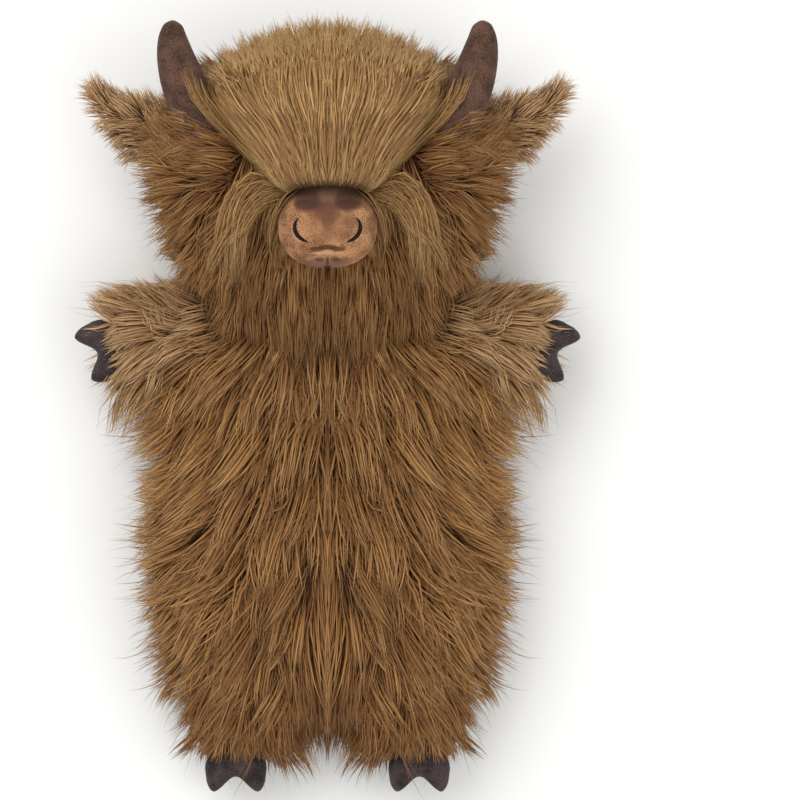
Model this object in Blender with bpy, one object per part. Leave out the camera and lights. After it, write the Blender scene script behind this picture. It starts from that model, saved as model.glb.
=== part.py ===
"""Plush highland-cow cover for a one-litre hot water bottle, lying on its back.

Units are metres. +X is the viewer's right, +Y runs from the legs to the crown and +Z comes out of the
face. The pouch holds the bottle and rests on Z = 0. The stuffed head, limbs, ears and horns are sewn
to it. Each piece ends against the cloth that carries it, with a seam's gap between the two.
"""

import math

import bmesh
import bpy
import numpy as np
from mathutils import Vector

MM = 0.001
SEAM_GAP = 0.4 * MM  # between two pieces that are sewn together

# The bottle that the pouch is made for.
BOTTLE_WIDTH = 155 * MM
BOTTLE_NECK_WIDTH = 84 * MM
BOTTLE_EASE = 3 * MM  # room left in all round the bottle

BACK_WALL = 6 * MM  # the back cloth with its short pile
# The room for the bottle in mm: y, half width as a share of the bottle's or of its neck's, top height.
BODY_ROOM = (
    (-150, 0.55, 24),
    (-144, 0.8, 32),
    (-132, 1, 39),
    (-60, 1, 42),
    (12, 1, 42),
    (32, 0.86, 39),
)
NECK_ROOM = (
    (46, 1, 34),
    (100, 1, 34),
    (138, 0.92, 32),
    (146, 0.6, 27),
)
ROOM_SQUARENESS = 4.5
ROOM_STEPS = 24
SLIT_MIDDLE = -8 * MM  # the open centre-back seam: its middle,
SLIT_LENGTH = 190 * MM  # its length
SLIT_WIDTH = 16 * MM  # and how far its lips stand open
SLIT_STEPS = 12
SLIT_REACH = 5 * MM  # how far the opening is cut past both faces of the back

# Rows of a stuffed form in mm: y, half width, top height, height of its widest line, squareness.
# The top has the reach of the pile, so the cloth itself lies deeper.
POUCH_ROWS = (
    (-161, 18, 17, 10, 2.3),
    (-157, 42, 29, 14, 2.4),
    (-149, 60, 44, 19, 2.5),
    (-134, 74, 56, 23, 2.5),
    (-108, 83, 62, 25, 2.6),
    (-70, 86, 66, 26, 2.6),
    (-20, 85, 66, 26, 2.6),
    (18, 82, 62, 25, 2.6),
    (42, 77, 53, 23, 2.8),
    (60, 72, 44, 20, 3.4),
    (80, 73, 41, 18, 4.0),
    (104, 76, 41, 18, 4.0),
    (128, 70, 41, 18, 4.0),
    (148, 56, 38, 17, 3.2),
    (161, 39, 31, 15, 2.6),
    (168, 20, 21, 12, 2.4),
)
HEAD_ROWS = (
    (53, 34, 62, 53, 2.4),
    (59, 52, 74, 53, 2.4),
    (72, 69, 84, 54, 2.5),
    (90, 78, 89, 54, 2.5),
    (108, 82, 91, 55, 2.5),
    (126, 78, 91, 56, 2.5),
    (142, 67, 87, 56, 2.5),
    (156, 55, 80, 56, 2.5),
    (167, 41, 71, 55, 2.4),
    (174, 22, 62, 54, 2.4),
)
FORELOCK_ROWS = (
    (97, 15, 114, 104, 2.2),
    (101, 26, 117, 98, 2.3),
    (110, 36, 118, 89, 2.4),
    (124, 46, 116, 80, 2.4),
    (140, 56, 109, 72, 2.4),
    (155, 58, 99, 65, 2.4),
    (167, 49, 87, 60, 2.4),
    (175, 35, 75, 56, 2.4),
    (180, 17, 66, 55, 2.4),
)
HEAD_REST = 41 * MM  # the head lies on the pouch's upper part, flat at this height
HEAD_FLOOR = HEAD_REST + SEAM_GAP
HEAD_PRESS = 4 * MM  # how far the stuffing is flattened onto what is below
POUCH_PRESS = 7 * MM
# Rings along each form, then points over its top and under its bottom.
POUCH_GRID = (40, 24, 12)
HEAD_GRID = (16, 16, 10)
FORELOCK_GRID = (15, 16, 6)
LIMB_GRID = (10, 16)  # rings, and points around each
HORN_GRID = (12, 14)

MUZZLE_CENTRE = (0, 85 * MM, 89 * MM)
MUZZLE_HALF = (23.5 * MM, 20.5 * MM, 18.5 * MM)
CHIN_TAPER = 0.2  # the chin is narrower than the brow by this share
MOUTH_DROP = 12.5 * MM  # the mouth lies this far below the muzzle's middle
MOUTH_HALF_WIDTH = 11 * MM
MOUTH_DEPTH = 2.6 * MM
MOUTH_WIDTH = 2.2 * MM  # of the crease itself
MUZZLE_TILT = 0.12  # how near the rings come to the muzzle's ends, in radians
MUZZLE_RINGS, MUZZLE_STEPS = 15, 24

# Limbs, ears and horns of the right side in mm: x, y, z, half width, half thickness.
ARM_ROWS = (
    (58, 37, 34, 23, 19),
    (72, 35, 35, 25.5, 20),
    (85, 33, 35, 26, 20),
    (96, 31, 34, 24, 18),
    (104, 29, 33, 19, 15),
    (109, 28, 33, 9, 8),
)
LEG_ROWS = (
    (40, -130, 30, 27, 19),
    (41, -145, 30, 27, 20),
    (42, -157, 29, 26, 19),
    (43, -167, 28, 23, 17),
    (43, -173, 28, 16, 13),
    (43, -176, 28, 8, 7),
)
EAR_ROWS = (
    (64, 123, 51, 18, 7),
    (77, 129, 51, 21, 7.5),
    (88, 135, 52, 19, 7.5),
    (98, 141, 53, 15, 6.5),
    (107, 147, 54, 10, 5),
    (114, 151, 55, 4.5, 3),
)
HORN_ROWS = (
    (56, 122, 68, 11.5, 11.5),
    (63, 134, 70, 11.2, 11.2),
    (69, 147, 71, 10.4, 10.4),
    (73, 159, 71, 9.2, 9.2),
    (75.5, 169, 70, 7.7, 7.7),
    (76, 177, 69, 5.8, 5.8),
    (75.2, 182.5, 68, 3.2, 3.2),
)
# Where the cleft's root lies, in mm, and the way that the toes point, in degrees from +X.
FRONT_HOOF = {"x": 112, "y": 25, "z": 35, "turn": -22}
BACK_HOOF = {"x": 43, "y": -179, "z": 28, "turn": -90}
HOOF_HALF_WIDTH = 15 * MM
HOOF_HALF_HEIGHT = 10 * MM
HOOF_ROOT = 15 * MM  # how far the hoof runs back from the cleft's root
TOE_REACH = 8.5 * MM  # how far the toes stand past the cleft's root
TOE_MIDDLE = 0.68  # where a toe's tip lies, as a share of the half width
TOE_ROUNDNESS = 1.6
SHOULDER_DROP = 1.4  # how far a toe's outer side runs back, as a share of its reach
HOOF_BACK_START = 0.3
HOOF_MIDDLE = -5 * MM  # the fullest place, behind the cleft's root
HOOF_FULLNESS = 0.75
HOOF_STEPS = 17
HOOF_BACK_STEPS = 6
HOOF_TILTS = (-78, -55, -30, 0, 30, 55, 78)  # degrees, from the underside to the top

# The pile. Its combed locks stand up on each face, and part into points along the rims.
PILE_RIDGE = 2.6 * MM
PILE_WAVE = 24 * MM  # from one raised lock to the next
LOCK_WANDER = 1.3  # how far the raised locks wander aside, in radians of that wave,
WANDER_LENGTH = 2.6  # in how many waves' length
SWELL_SHARE = 0.6  # the swells along a lock, as a share of the lock's own height,
SWELL_LENGTH = 1.7  # their length in waves
SWELL_SLANT = 0.33  # and how far they run slantwise
PILE_FADE = 12 * MM  # the ridges die out within this height above what the form lies on
POUCH_LEAN, HEAD_LEAN, FORELOCK_LEAN = 0.7, 0.5, -0.3  # how far the pile is combed aside, in radians
LEAN_WIDTH = 30 * MM  # it is combed aside from this far off the middle line
LOCK_STEPS = ((0.38, 0.66), (0.72, 0.38))  # how far along a lock, and its width there
RIM_BAND = 2.4 * MM  # thickness of the band that carries a wall's locks
RIM_GAP = 0.9 * MM  # between that band and the wall
RIM_REACH = (-136 * MM, -8 * MM)  # the side bands run between leg and arm
RIM_PLACES = [-1, 0, 1, 2]  # and over these points of the pouch's rings, about its widest line
RIM_LOCK = 19 * MM  # the longest of them
RIM_VARIETY = 0.3  # the shortest is shorter than it by this share
RIM_BEAT = 2.4  # radians of that variety from one lock to the next
RIM_SAG = 0.5  # how far the highest hang down, and the lowest by one more
RIM_SPREAD = 0.15  # how far the upper and the lower ones part
TUFT_HALF_WIDTH = 12 * MM  # the tuft between the legs
TUFT_CELLS = 4
TUFT_HEIGHTS = (9 * MM, 17 * MM)
TUFT_LOCK = 15 * MM
TUFT_TAPER = 0.3  # its outer locks are shorter than the middle by this share
TUFT_SPREAD, TUFT_DROOP = 0.4, 0.1  # how far they part, and droop
HEAD_LOCK = 15 * MM
HEAD_SAG, HEAD_SPREAD = 0.45, 0.12  # how far the head's locks hang down, and part
HEAD_LOCKS_FROM, HEAD_LOCKS_TO = 60 * MM, 106 * MM
CROWN_LOCK = 13.2 * MM
CROWN_HALF_WIDTH = 75 * MM
CROWN_LIFTS = (0.1, 0.4)  # how far the lower and the upper row of its locks stand up
FRINGE_LOCK = 9 * MM
FRINGE_CLOSING = 0.3  # how far the fringe closes to the middle,
FRINGE_LIFT = 0.2  # and how much of it stands out from its cell
EAR_LOCK = 9 * MM
LIMB_LOCK = 14 * MM
LIMB_SPREAD = 0.5  # how far the limbs' and ears' locks stand out

# The long cheek locks of the right side, in mm: the line that they leave from, and where each ends.
CHEEK_ROOT = ((32, 97), (49, 104))
CHEEK_ENDS = (
    (33, 62),
    (39, 55),
    (46, 50),
    (53, 53),
    (59, 61),
    (65, 71),
)
CHEEK_RISE = 2.5 * MM  # how far the cheek locks clear the head
CHEEK_BAND = 3 * MM  # height of the band that carries them, and their own thickness
CHEEK_STEPS = ((0.2, 0.9), (0.42, 0.95), (0.66, 0.9), (0.86, 0.6))  # as for LOCK_STEPS
CHEEK_BEND = 1.3  # how late along their length they turn aside

FUR = ("long pile", (0.27, 0.16, 0.075), 0.85)
GOLDEN_FUR = ("golden long pile", (0.36, 0.22, 0.10), 0.85)
HORN_CLOTH = ("brown velour", (0.085, 0.05, 0.04), 0.9)
MUZZLE_CLOTH = ("tan velour", (0.33, 0.17, 0.09), 0.9)
HOOF_CLOTH = ("dark velour", (0.035, 0.024, 0.027), 0.85)


def clear_scene():
    for thing in list(bpy.data.objects):
        bpy.data.objects.remove(thing)


def cloth(finish):
    """The material of this finish, made on first use."""
    name, colour, roughness = finish
    found = bpy.data.materials.get(name)
    if found:
        return found
    made = bpy.data.materials.new(name)
    made.use_nodes = True
    surface = made.node_tree.nodes["Principled BSDF"]
    surface.inputs["Base Color"].default_value = (*colour, 1)
    surface.inputs["Roughness"].default_value = roughness
    surface.inputs["Metallic"].default_value = 0
    return made


# Curves and rings.


def smooth(at, values, where):
    """The values, given at the places at, read at where on a smooth curve through them."""
    at, values = np.array(at, float), np.array(values, float)
    slopes = np.gradient(values, at)
    i = np.clip(np.searchsorted(at, where) - 1, 0, len(at) - 2)
    step = at[i + 1] - at[i]
    u = np.clip((where - at[i]) / step, 0, 1)
    rise = u**2 * (3 - 2 * u)
    bend = slopes[i] * u * (1 - u) ** 2 - slopes[i + 1] * u**2 * (1 - u)
    return values[i] * (1 - rise) + values[i + 1] * rise + bend * step


def columns(rows, y):
    """Half width, top, widest height and squareness of a stuffed form at y, from its rows."""
    at = [row[0] * MM for row in rows]
    half, top, widest, square = (smooth(at, [row[k] for row in rows], y) for k in range(1, 5))
    return half * MM, top * MM, widest * MM, square


def stations(low, high, count):
    """Places between low and high, closer together at the ends."""
    u = np.linspace(0, 1, count)
    return low + (high - low) * (0.6 * u + 0.4 * (1 - np.cos(math.pi * u)) / 2)


def stuffed_form(rows, grid, floor=0, press=0):
    """Rings along y: superellipses, full on top, whose bottom is pressed flat onto the floor."""
    count, upper, lower = grid
    y = stations(rows[0][0] * MM, rows[-1][0] * MM, count)[:, None]
    half, top, widest, square = columns(rows, y)
    over = np.linspace(0, math.pi, upper, endpoint=False)
    under = np.linspace(math.pi, 2 * math.pi, lower, endpoint=False)
    turn = np.concatenate([over, under])
    across, up = np.cos(turn), np.sin(turn)
    x = half * np.sign(across) * np.abs(across) ** (2 / square)
    height = np.where(up > 0, top - widest, widest - floor + press)
    z = np.maximum(widest + height * np.sign(up) * np.abs(up) ** (2 / square), floor)
    return np.stack([x, y + 0 * x, z], axis=2)


def height_on(rings, x, y):
    """Height of the top of a stuffed form over the point x, y."""
    upper = len(rings[0]) // 2 + 1
    across = [np.interp(x, ring[:upper, 0][::-1], ring[:upper, 2][::-1]) for ring in rings]
    return float(np.interp(y, rings[:, 0, 1], across))


def limb_form(rows, grid=LIMB_GRID):
    """Rings along a bent limb, each an ellipse square to the limb's line."""
    count, around = grid
    table = np.array(rows, float) * MM
    lengths = np.linalg.norm(np.diff(table[:, :3], axis=0), axis=1)
    at = np.concatenate([[0], np.cumsum(lengths)])
    where = stations(0, at[-1], count)
    x, y, z, wide, thick = (smooth(at, table[:, k], where) for k in range(5))
    line = np.stack([x, y, z], axis=1)
    ahead = np.gradient(line, axis=0)
    ahead /= np.linalg.norm(ahead, axis=1)[:, None]
    side = np.cross(ahead, [0, 0, 1])
    side /= np.linalg.norm(side, axis=1)[:, None]
    up = np.cross(side, ahead)
    turn = np.linspace(0, 2 * math.pi, around, endpoint=False)[None, :, None]
    wide, thick = wide[:, None, None], thick[:, None, None]
    return line[:, None] + side[:, None] * wide * np.cos(turn) + up[:, None] * thick * np.sin(turn)


def outward(rings):
    """The way out of the form at each point of its rings."""
    along = np.gradient(rings, axis=0)
    around = np.roll(rings, -1, axis=1) - np.roll(rings, 1, axis=1)
    out = np.cross(along, around)
    return out / np.linalg.norm(out, axis=2)[:, :, None]


def swollen(rings, by):
    """Rings of the same form, larger by this much on every side."""
    larger = rings + outward(rings) * by
    for end, inner in ((0, 1), (-1, -2)):
        out = rings[end].mean(axis=0) - rings[inner].mean(axis=0)
        larger[end] += out / np.linalg.norm(out) * by
    return larger


def combed(rings, lean, floor=0):
    """Rings with the pile's locks raised on them, combed aside from the middle line by lean."""
    x, y, z = np.moveaxis(rings, 2, 0)
    fan = lean * np.tanh(np.abs(x) / LEAN_WIDTH)
    over = np.abs(x) * np.cos(fan) + y * np.sin(fan)
    along = y * np.cos(fan) - np.abs(x) * np.sin(fan)
    turn = 2 * math.pi / PILE_WAVE
    locks = np.sin(turn * over + LOCK_WANDER * np.sin(turn * along / WANDER_LENGTH))
    swells = SWELL_SHARE * np.sin(turn * (along / SWELL_LENGTH + over * SWELL_SLANT))
    fade = np.clip((z - floor) / PILE_FADE, 0, 1)
    raised = PILE_RIDGE * fade * (locks + swells) / (1 + SWELL_SHARE)
    return rings + outward(rings) * raised[:, :, None]


def pouch_form():
    """The pouch's rings, combed, and level where the head lies on them."""
    rings = combed(stuffed_form(POUCH_ROWS, POUCH_GRID, 0, POUCH_PRESS), POUCH_LEAN)
    start, full = HEAD_ROWS[0][0] * MM - 3 * MM, HEAD_ROWS[1][0] * MM + MM
    under_head = np.clip((rings[:, :, 1] - start) / (full - start), 0, 1)
    level = np.minimum(rings[:, :, 2], HEAD_REST)
    rings[:, :, 2] += (level - rings[:, :, 2]) * under_head
    return rings


# Meshes.


def loft(rings):
    """A closed mesh over rings of points. Also its cells, by ring and by place in the ring."""
    bm = bmesh.new()
    verts = [[bm.verts.new(point) for point in ring] for ring in rings]
    around = len(verts[0])
    cells = {}
    for i, (low, high) in enumerate(zip(verts, verts[1:])):
        for j in range(around):
            k = (j + 1) % around
            cells[i, j] = bm.faces.new((low[j], low[k], high[k], high[j]))
    for ring, points in ((verts[0][::-1], rings[0]), (verts[-1], rings[-1])):
        pole = bm.verts.new((np.min(points, axis=0) + np.max(points, axis=0)) / 2)
        for j in range(around):
            bm.faces.new((ring[j], ring[(j + 1) % around], pole))
    turn_outward(bm)
    return bm, cells


def turn_outward(bm):
    if bm.calc_volume(signed=True) < 0:
        bmesh.ops.reverse_faces(bm, faces=bm.faces)


def draw_out(bm, cell, path, shares):
    """Draws a cell out along a path into a lock: a share of its width at each point, then a tip."""
    middle = cell.calc_center_median()
    facing = cell.normal.copy()
    width = 1
    for k, share in enumerate(shares):
        cell = bmesh.ops.extrude_discrete_faces(bm, faces=[cell])["faces"][0]
        ahead = (path[k + 1] - (path[k - 1] if k else middle)).normalized()
        turn = facing.rotation_difference(ahead)
        for vert in cell.verts:
            vert.co = path[k] + turn @ (vert.co - middle) * (share / width)
        middle, facing, width = path[k], ahead, share
    cell = bmesh.ops.extrude_discrete_faces(bm, faces=[cell])["faces"][0]
    bmesh.ops.pointmerge(bm, verts=cell.verts, merge_co=path[-1])


def grow_lock(bm, cell, length, flow, lift=0.4):
    """A lock that leaves square to its cell and bends to follow the flow."""
    root = cell.calc_center_median()
    knee = root + cell.normal * length * lift
    tip = knee + Vector(flow).normalized() * length * (1 - lift)
    path = [root * (1 - u) ** 2 + knee * 2 * u * (1 - u) + tip * u**2 for u, _ in LOCK_STEPS]
    draw_out(bm, cell, path + [tip], [share for _, share in LOCK_STEPS])


def make(name, bm, finish, cutters=(), mirrored=False, solver="EXACT"):
    """The object of this mesh, cut by the cutters. A mirrored one stands on the other side."""
    if mirrored:
        for vert in bm.verts:
            vert.co.x = -vert.co.x
    turn_outward(bm)
    bmesh.ops.triangulate(bm, faces=bm.faces, quad_method="FIXED")
    mesh = bpy.data.meshes.new(name)
    bm.to_mesh(mesh)
    bm.free()
    mesh.shade_smooth()
    mesh.materials.append(cloth(finish))
    piece = bpy.data.objects.new(name, mesh)
    bpy.context.scene.collection.objects.link(piece)
    for cutter in cutters:
        cut = piece.modifiers.new(cutter.name, "BOOLEAN")
        cut.operation = "DIFFERENCE"
        cut.solver = solver
        cut.object = cutter
    return piece


def make_cutter(name, rings, mirrored=False):
    """A guide of this form, larger by the seam gap, that others are cut with."""
    cutter = make(name, loft(swollen(rings, SEAM_GAP))[0], FUR, mirrored=mirrored)
    cutter.hide_render = True
    cutter.display_type = "WIRE"
    return cutter


def both_sides(name, build, finish, cutters=(), carrier=None):
    """The right piece and its mirror image. The carrier is the rings of the limb that bears each."""
    for side, mirrored in (("right", False), ("left", True)):
        if carrier is None:
            make(f"{name}_{side}", build(), finish, cutters, mirrored)
        else:
            limb = make_cutter(f"{name}_{side}_cutter", carrier, mirrored)
            make(f"{name}_{side}", build(), finish, (limb,), mirrored, "MANIFOLD")


# The pieces.


def hollow_form():
    """Rings of the room for the bottle: its flat body, its shoulders and its neck."""
    y, share, top = np.array(BODY_ROOM + NECK_ROOM).T
    width = np.where(np.arange(len(y)) < len(BODY_ROOM), BOTTLE_WIDTH, BOTTLE_NECK_WIDTH)
    half = (width / 2 + BOTTLE_EASE) * share
    middle, rise = (top * MM + BACK_WALL) / 2, (top * MM - BACK_WALL) / 2
    turn = np.linspace(0, 2 * math.pi, ROOM_STEPS, endpoint=False)
    across, up = np.cos(turn), np.sin(turn)
    x = half[:, None] * np.sign(across) * np.abs(across) ** (2 / ROOM_SQUARENESS)
    z = middle[:, None] + rise[:, None] * np.sign(up) * np.abs(up) ** (2 / ROOM_SQUARENESS)
    return np.stack([x, y[:, None] * MM + 0 * x, z], axis=2)


def slit_form():
    """Rings of the open centre-back seam, a long lens in outline, through the back wall."""
    u = np.linspace(-1, 1, SLIT_STEPS)
    y = SLIT_MIDDLE + u * SLIT_LENGTH / 2
    x = SLIT_WIDTH / 2 * (1 - u**4) + SEAM_GAP
    outline = np.concatenate([np.stack([x, y], axis=1), np.stack([-x, y], axis=1)[::-1]])
    heights = (-SLIT_REACH, BACK_WALL + SLIT_REACH)
    return np.array([np.insert(outline, 2, z, axis=1) for z in heights])


def build_pouch(rings):
    hollow = make_cutter("hollow_cutter", hollow_form())
    slit = make_cutter("slit_cutter", slit_form())
    make("pouch", loft(rings)[0], FUR, (hollow, slit))


def build_rim(rings):
    """A band on the pouch's right wall, whose outer cells are drawn out into locks by turns."""
    out = outward(rings)
    y = rings[:, 0, 1]
    run = np.nonzero((y > RIM_REACH[0]) & (y < RIM_REACH[1]))[0]
    wall = rings[run][:, RIM_PLACES]
    away = out[run][:, RIM_PLACES]
    inner = wall + away * RIM_GAP
    outer = wall + away * (RIM_GAP + RIM_BAND)
    bm, cells = loft(np.concatenate([outer, inner[:, ::-1]], axis=1))
    for (i, j), cell in list(cells.items()):
        if j < len(RIM_PLACES) - 1 and (i + j) % 2 == 0:
            length = RIM_LOCK * (1 - RIM_VARIETY / 2 * (1 - math.sin(RIM_BEAT * i + j)))
            sag = RIM_SAG + y[run[i]] / RIM_REACH[0]
            grow_lock(bm, cell, length, (1, -sag, RIM_SPREAD * (j - 1)))
    return bm


def build_tuft(pouch):
    """The narrow band between the legs, with its hanging locks, the outer ones shorter."""
    low, high = TUFT_HEIGHTS
    far = pouch[:, :, 1].min() - RIM_GAP
    near = far - RIM_BAND
    rings = []
    for x in np.linspace(-TUFT_HALF_WIDTH, TUFT_HALF_WIDTH, TUFT_CELLS + 1):
        rings.append([(x, near, low), (x, near, high), (x, far, high), (x, far, low)])
    bm, cells = loft(np.array(rings))
    for i in range(TUFT_CELLS):
        aside = 2 * (i + 0.5) / TUFT_CELLS - 1
        length = TUFT_LOCK * (1 - TUFT_TAPER * abs(aside))
        grow_lock(bm, cells[i, 0], length, (TUFT_SPREAD * aside, -1, -TUFT_DROOP))
    return bm


def build_head(rings):
    """The stuffed head, flat below, with locks along its sides under the ears."""
    bm, cells = loft(rings)
    upper, around = HEAD_GRID[1], len(rings[0])
    for i, y in enumerate(rings[:-1, 0, 1]):
        if not HEAD_LOCKS_FROM < y < HEAD_LOCKS_TO:
            continue
        for step in (-1, 0, 1):
            if (i + step) % 2 == 0:
                for j, side in ((step % around, 1), (upper - 1 - step, -1)):
                    grow_lock(bm, cells[i, j], HEAD_LOCK, (side, -HEAD_SAG, HEAD_SPREAD * step))
    return bm


def build_forelock(rings):
    """The forelock, combed from the crown to a point over the muzzle, with locks at both ends."""
    bm, cells = loft(rings)
    upper, last = FORELOCK_GRID[1], len(rings) - 2
    for j in range(upper):
        fan = rings[last - 1, [j, j + 1], 0].mean() / CROWN_HALF_WIDTH
        if min(j, upper - 1 - j) % 2 == 0:
            grow_lock(bm, cells[last - 1, j], CROWN_LOCK, (fan, 1, CROWN_LIFTS[0]))
            grow_lock(bm, cells[0, j], FRINGE_LOCK, (-FRINGE_CLOSING * fan, -1, 0), FRINGE_LIFT)
        else:
            grow_lock(bm, cells[last - 3, j], CROWN_LOCK, (fan, 1, CROWN_LIFTS[1]))
    return bm


def build_muzzle():
    """A padded dome, narrower at the chin, with the mouth drawn in by its stitches."""
    centre, half = np.array(MUZZLE_CENTRE), np.array(MUZZLE_HALF)
    tilt = np.linspace(MUZZLE_TILT, math.pi - MUZZLE_TILT, MUZZLE_RINGS)[:, None]
    turn = np.linspace(0, 2 * math.pi, MUZZLE_STEPS, endpoint=False)[None, :]
    y = -np.cos(tilt) + 0 * turn
    squeeze = 1 - CHIN_TAPER * np.clip(-y, 0, 1) ** 2
    x = np.sin(tilt) * np.cos(turn) * squeeze
    z = np.sin(tilt) * np.sin(turn)
    x, y, z = x * half[0], y * half[1], z * half[2]
    across = np.clip(1 - (x / MOUTH_HALF_WIDTH) ** 2, 0, 1)
    draw = MOUTH_DEPTH * across * np.exp(-(((y + MOUTH_DROP) / MOUTH_WIDTH) ** 2))
    z = z - draw * (z > 0)
    return loft(np.stack([x, y, z], axis=2) + centre)[0]


def build_cheek(head, pouch):
    """A narrow band at the brow's corner, whose cells are drawn out into the long cheek locks."""
    start, stop = np.array(CHEEK_ROOT) * MM
    rings = []
    for u in np.linspace(0, 1, len(CHEEK_ENDS) + 1):
        x, y = start + (stop - start) * u
        low = height_on(head, x, y) + CHEEK_RISE
        high = low + CHEEK_BAND
        near, far = y - RIM_BAND / 2, y + RIM_BAND / 2
        rings.append([(x, near, low), (x, near, high), (x, far, high), (x, far, low)])
    bm, cells = loft(np.array(rings))
    for i, end in enumerate(CHEEK_ENDS):
        root = cells[i, 0].calc_center_median()
        path = []
        for u, _ in (*CHEEK_STEPS, (1, 0)):
            x = root.x + (end[0] * MM - root.x) * u**CHEEK_BEND
            y = root.y + (end[1] * MM - root.y) * u
            ground = max(height_on(pouch, x, y), height_on(head, x, y + 2 * CHEEK_RISE))
            clear = CHEEK_RISE + CHEEK_BAND * (0.5 + math.sin(math.pi * u))
            path.append(Vector((x, y, ground + clear)))
        draw_out(bm, cells[i, 0], path, [share for _, share in CHEEK_STEPS])
    return bm


def build_limb(rows, length, first):
    """A stuffed limb. Locks along both edges, from this ring on, lean the way the limb points."""

    def build():
        rings = limb_form(rows)
        middles = rings.mean(axis=1)
        ahead = middles[-1] - middles[first]
        ahead /= np.linalg.norm(ahead)
        bm, cells = loft(rings)
        half_turn = LIMB_GRID[1] // 2
        beside = ((0, 0), (2 * half_turn - 1, 0), (half_turn - 1, half_turn), (half_turn, half_turn))
        for i in range(first, LIMB_GRID[0] - 2):
            for j, edge in beside:
                if (i + j) % 2 == 0:
                    out = rings[i, edge] - middles[i]
                    out /= np.linalg.norm(out)
                    grow_lock(bm, cells[i, j], length, ahead + LIMB_SPREAD * out)
        return bm

    return build


def build_horn():
    return loft(limb_form(HORN_ROWS, HORN_GRID))[0]


def hoof_outline():
    """The hoof from above, ahead and across: two round toes, the cleft between them, a round back."""
    across = np.linspace(-1, 1, HOOF_STEPS)
    inner = np.clip(np.abs(across) / TOE_MIDDLE, 0, 1)
    outer = np.clip((np.abs(across) - TOE_MIDDLE) / (1 - TOE_MIDDLE), 0, 1)
    shoulder = 1 - np.sqrt(1 - outer**2)
    toes = TOE_REACH * (np.sin(inner * math.pi / 2) ** TOE_ROUNDNESS - SHOULDER_DROP * shoulder)
    turn = np.linspace(0, math.pi, HOOF_BACK_STEPS + 2)[1:-1]
    back = -HOOF_ROOT * (HOOF_BACK_START + (1 - HOOF_BACK_START) * np.sin(turn))
    ahead = np.concatenate([toes, back])
    return np.stack([ahead, np.concatenate([across, np.cos(turn)]) * HOOF_HALF_WIDTH], axis=1)


def build_hoof(hoof):
    """A flat padded mitt of the hoof's outline, fullest at its middle height."""

    def build():
        middle = np.array([HOOF_MIDDLE, 0])
        turn = math.radians(hoof["turn"])
        way = np.array([[math.cos(turn), math.sin(turn)], [-math.sin(turn), math.cos(turn)]])
        place = np.array([hoof["x"], hoof["y"]]) * MM
        rings = []
        for tilt in np.radians(HOOF_TILTS):
            flat = (middle + (hoof_outline() - middle) * math.cos(tilt) ** HOOF_FULLNESS) @ way + place
            height = hoof["z"] * MM + HOOF_HALF_HEIGHT * math.sin(tilt)
            rings.append(np.insert(flat, 2, height, axis=1))
        return loft(np.array(rings))[0]

    return build


def main():
    clear_scene()
    pouch = pouch_form()
    head = combed(stuffed_form(HEAD_ROWS, HEAD_GRID, HEAD_FLOOR, HEAD_PRESS), HEAD_LEAN, HEAD_FLOOR)
    forelock = combed(stuffed_form(FORELOCK_ROWS, FORELOCK_GRID, HEAD_FLOOR), FORELOCK_LEAN, HEAD_FLOOR)

    pouch_cutter = make_cutter("pouch_cutter", pouch)
    head_cutter = make_cutter("head_cutter", head)
    forelock_cutter = make_cutter("forelock_cutter", forelock)

    build_pouch(pouch)
    both_sides("pile_rim", lambda: build_rim(pouch), FUR)
    make("tuft", build_tuft(pouch), FUR)
    make("head", build_head(head), FUR, (pouch_cutter,))
    make("forelock", build_forelock(forelock), GOLDEN_FUR, (head_cutter,))
    make("muzzle", build_muzzle(), MUZZLE_CLOTH, (head_cutter, forelock_cutter))
    both_sides("cheek_lock", lambda: build_cheek(head, pouch), GOLDEN_FUR)
    both_sides("ear", build_limb(EAR_ROWS, EAR_LOCK, 3), FUR, (head_cutter,))
    both_sides("horn", build_horn, HORN_CLOTH, (head_cutter, forelock_cutter))
    both_sides("arm", build_limb(ARM_ROWS, LIMB_LOCK, 3), FUR, (pouch_cutter, head_cutter))
    both_sides("leg", build_limb(LEG_ROWS, LIMB_LOCK, 4), FUR, (pouch_cutter,))
    both_sides("front_hoof", build_hoof(FRONT_HOOF), HOOF_CLOTH, carrier=limb_form(ARM_ROWS))
    both_sides("back_hoof", build_hoof(BACK_HOOF), HOOF_CLOTH, carrier=limb_form(LEG_ROWS))


main()
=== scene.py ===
"""Looks of a plush highland-cow cover for a hot water bottle, lying on its back.

The cloth of each stuffed piece is a closed skin a pile's depth inside its solid. The long pile on it is
thousands of tapered strands, combed by given lies and drawn together into locks. The right half of
the pile is worked out once and mirrored. Lengths are in mm up to the mesh, which is in metres.
"""

from math import cos, pi, radians, sin

import bpy
import numpy as np
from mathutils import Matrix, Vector


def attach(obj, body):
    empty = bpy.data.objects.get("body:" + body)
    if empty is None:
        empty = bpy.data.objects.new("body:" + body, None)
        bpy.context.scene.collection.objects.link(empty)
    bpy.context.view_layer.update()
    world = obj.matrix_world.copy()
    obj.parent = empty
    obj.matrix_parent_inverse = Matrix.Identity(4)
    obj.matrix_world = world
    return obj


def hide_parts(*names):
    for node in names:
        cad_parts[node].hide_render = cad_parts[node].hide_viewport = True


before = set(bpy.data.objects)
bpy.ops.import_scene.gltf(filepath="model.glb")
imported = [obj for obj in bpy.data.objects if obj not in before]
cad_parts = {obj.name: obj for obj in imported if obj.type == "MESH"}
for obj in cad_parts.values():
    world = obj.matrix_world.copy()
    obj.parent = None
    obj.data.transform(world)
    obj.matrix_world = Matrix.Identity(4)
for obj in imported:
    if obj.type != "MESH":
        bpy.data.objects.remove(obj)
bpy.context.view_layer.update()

scene = bpy.context.scene

MM = 0.001
SEED = 20

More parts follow.
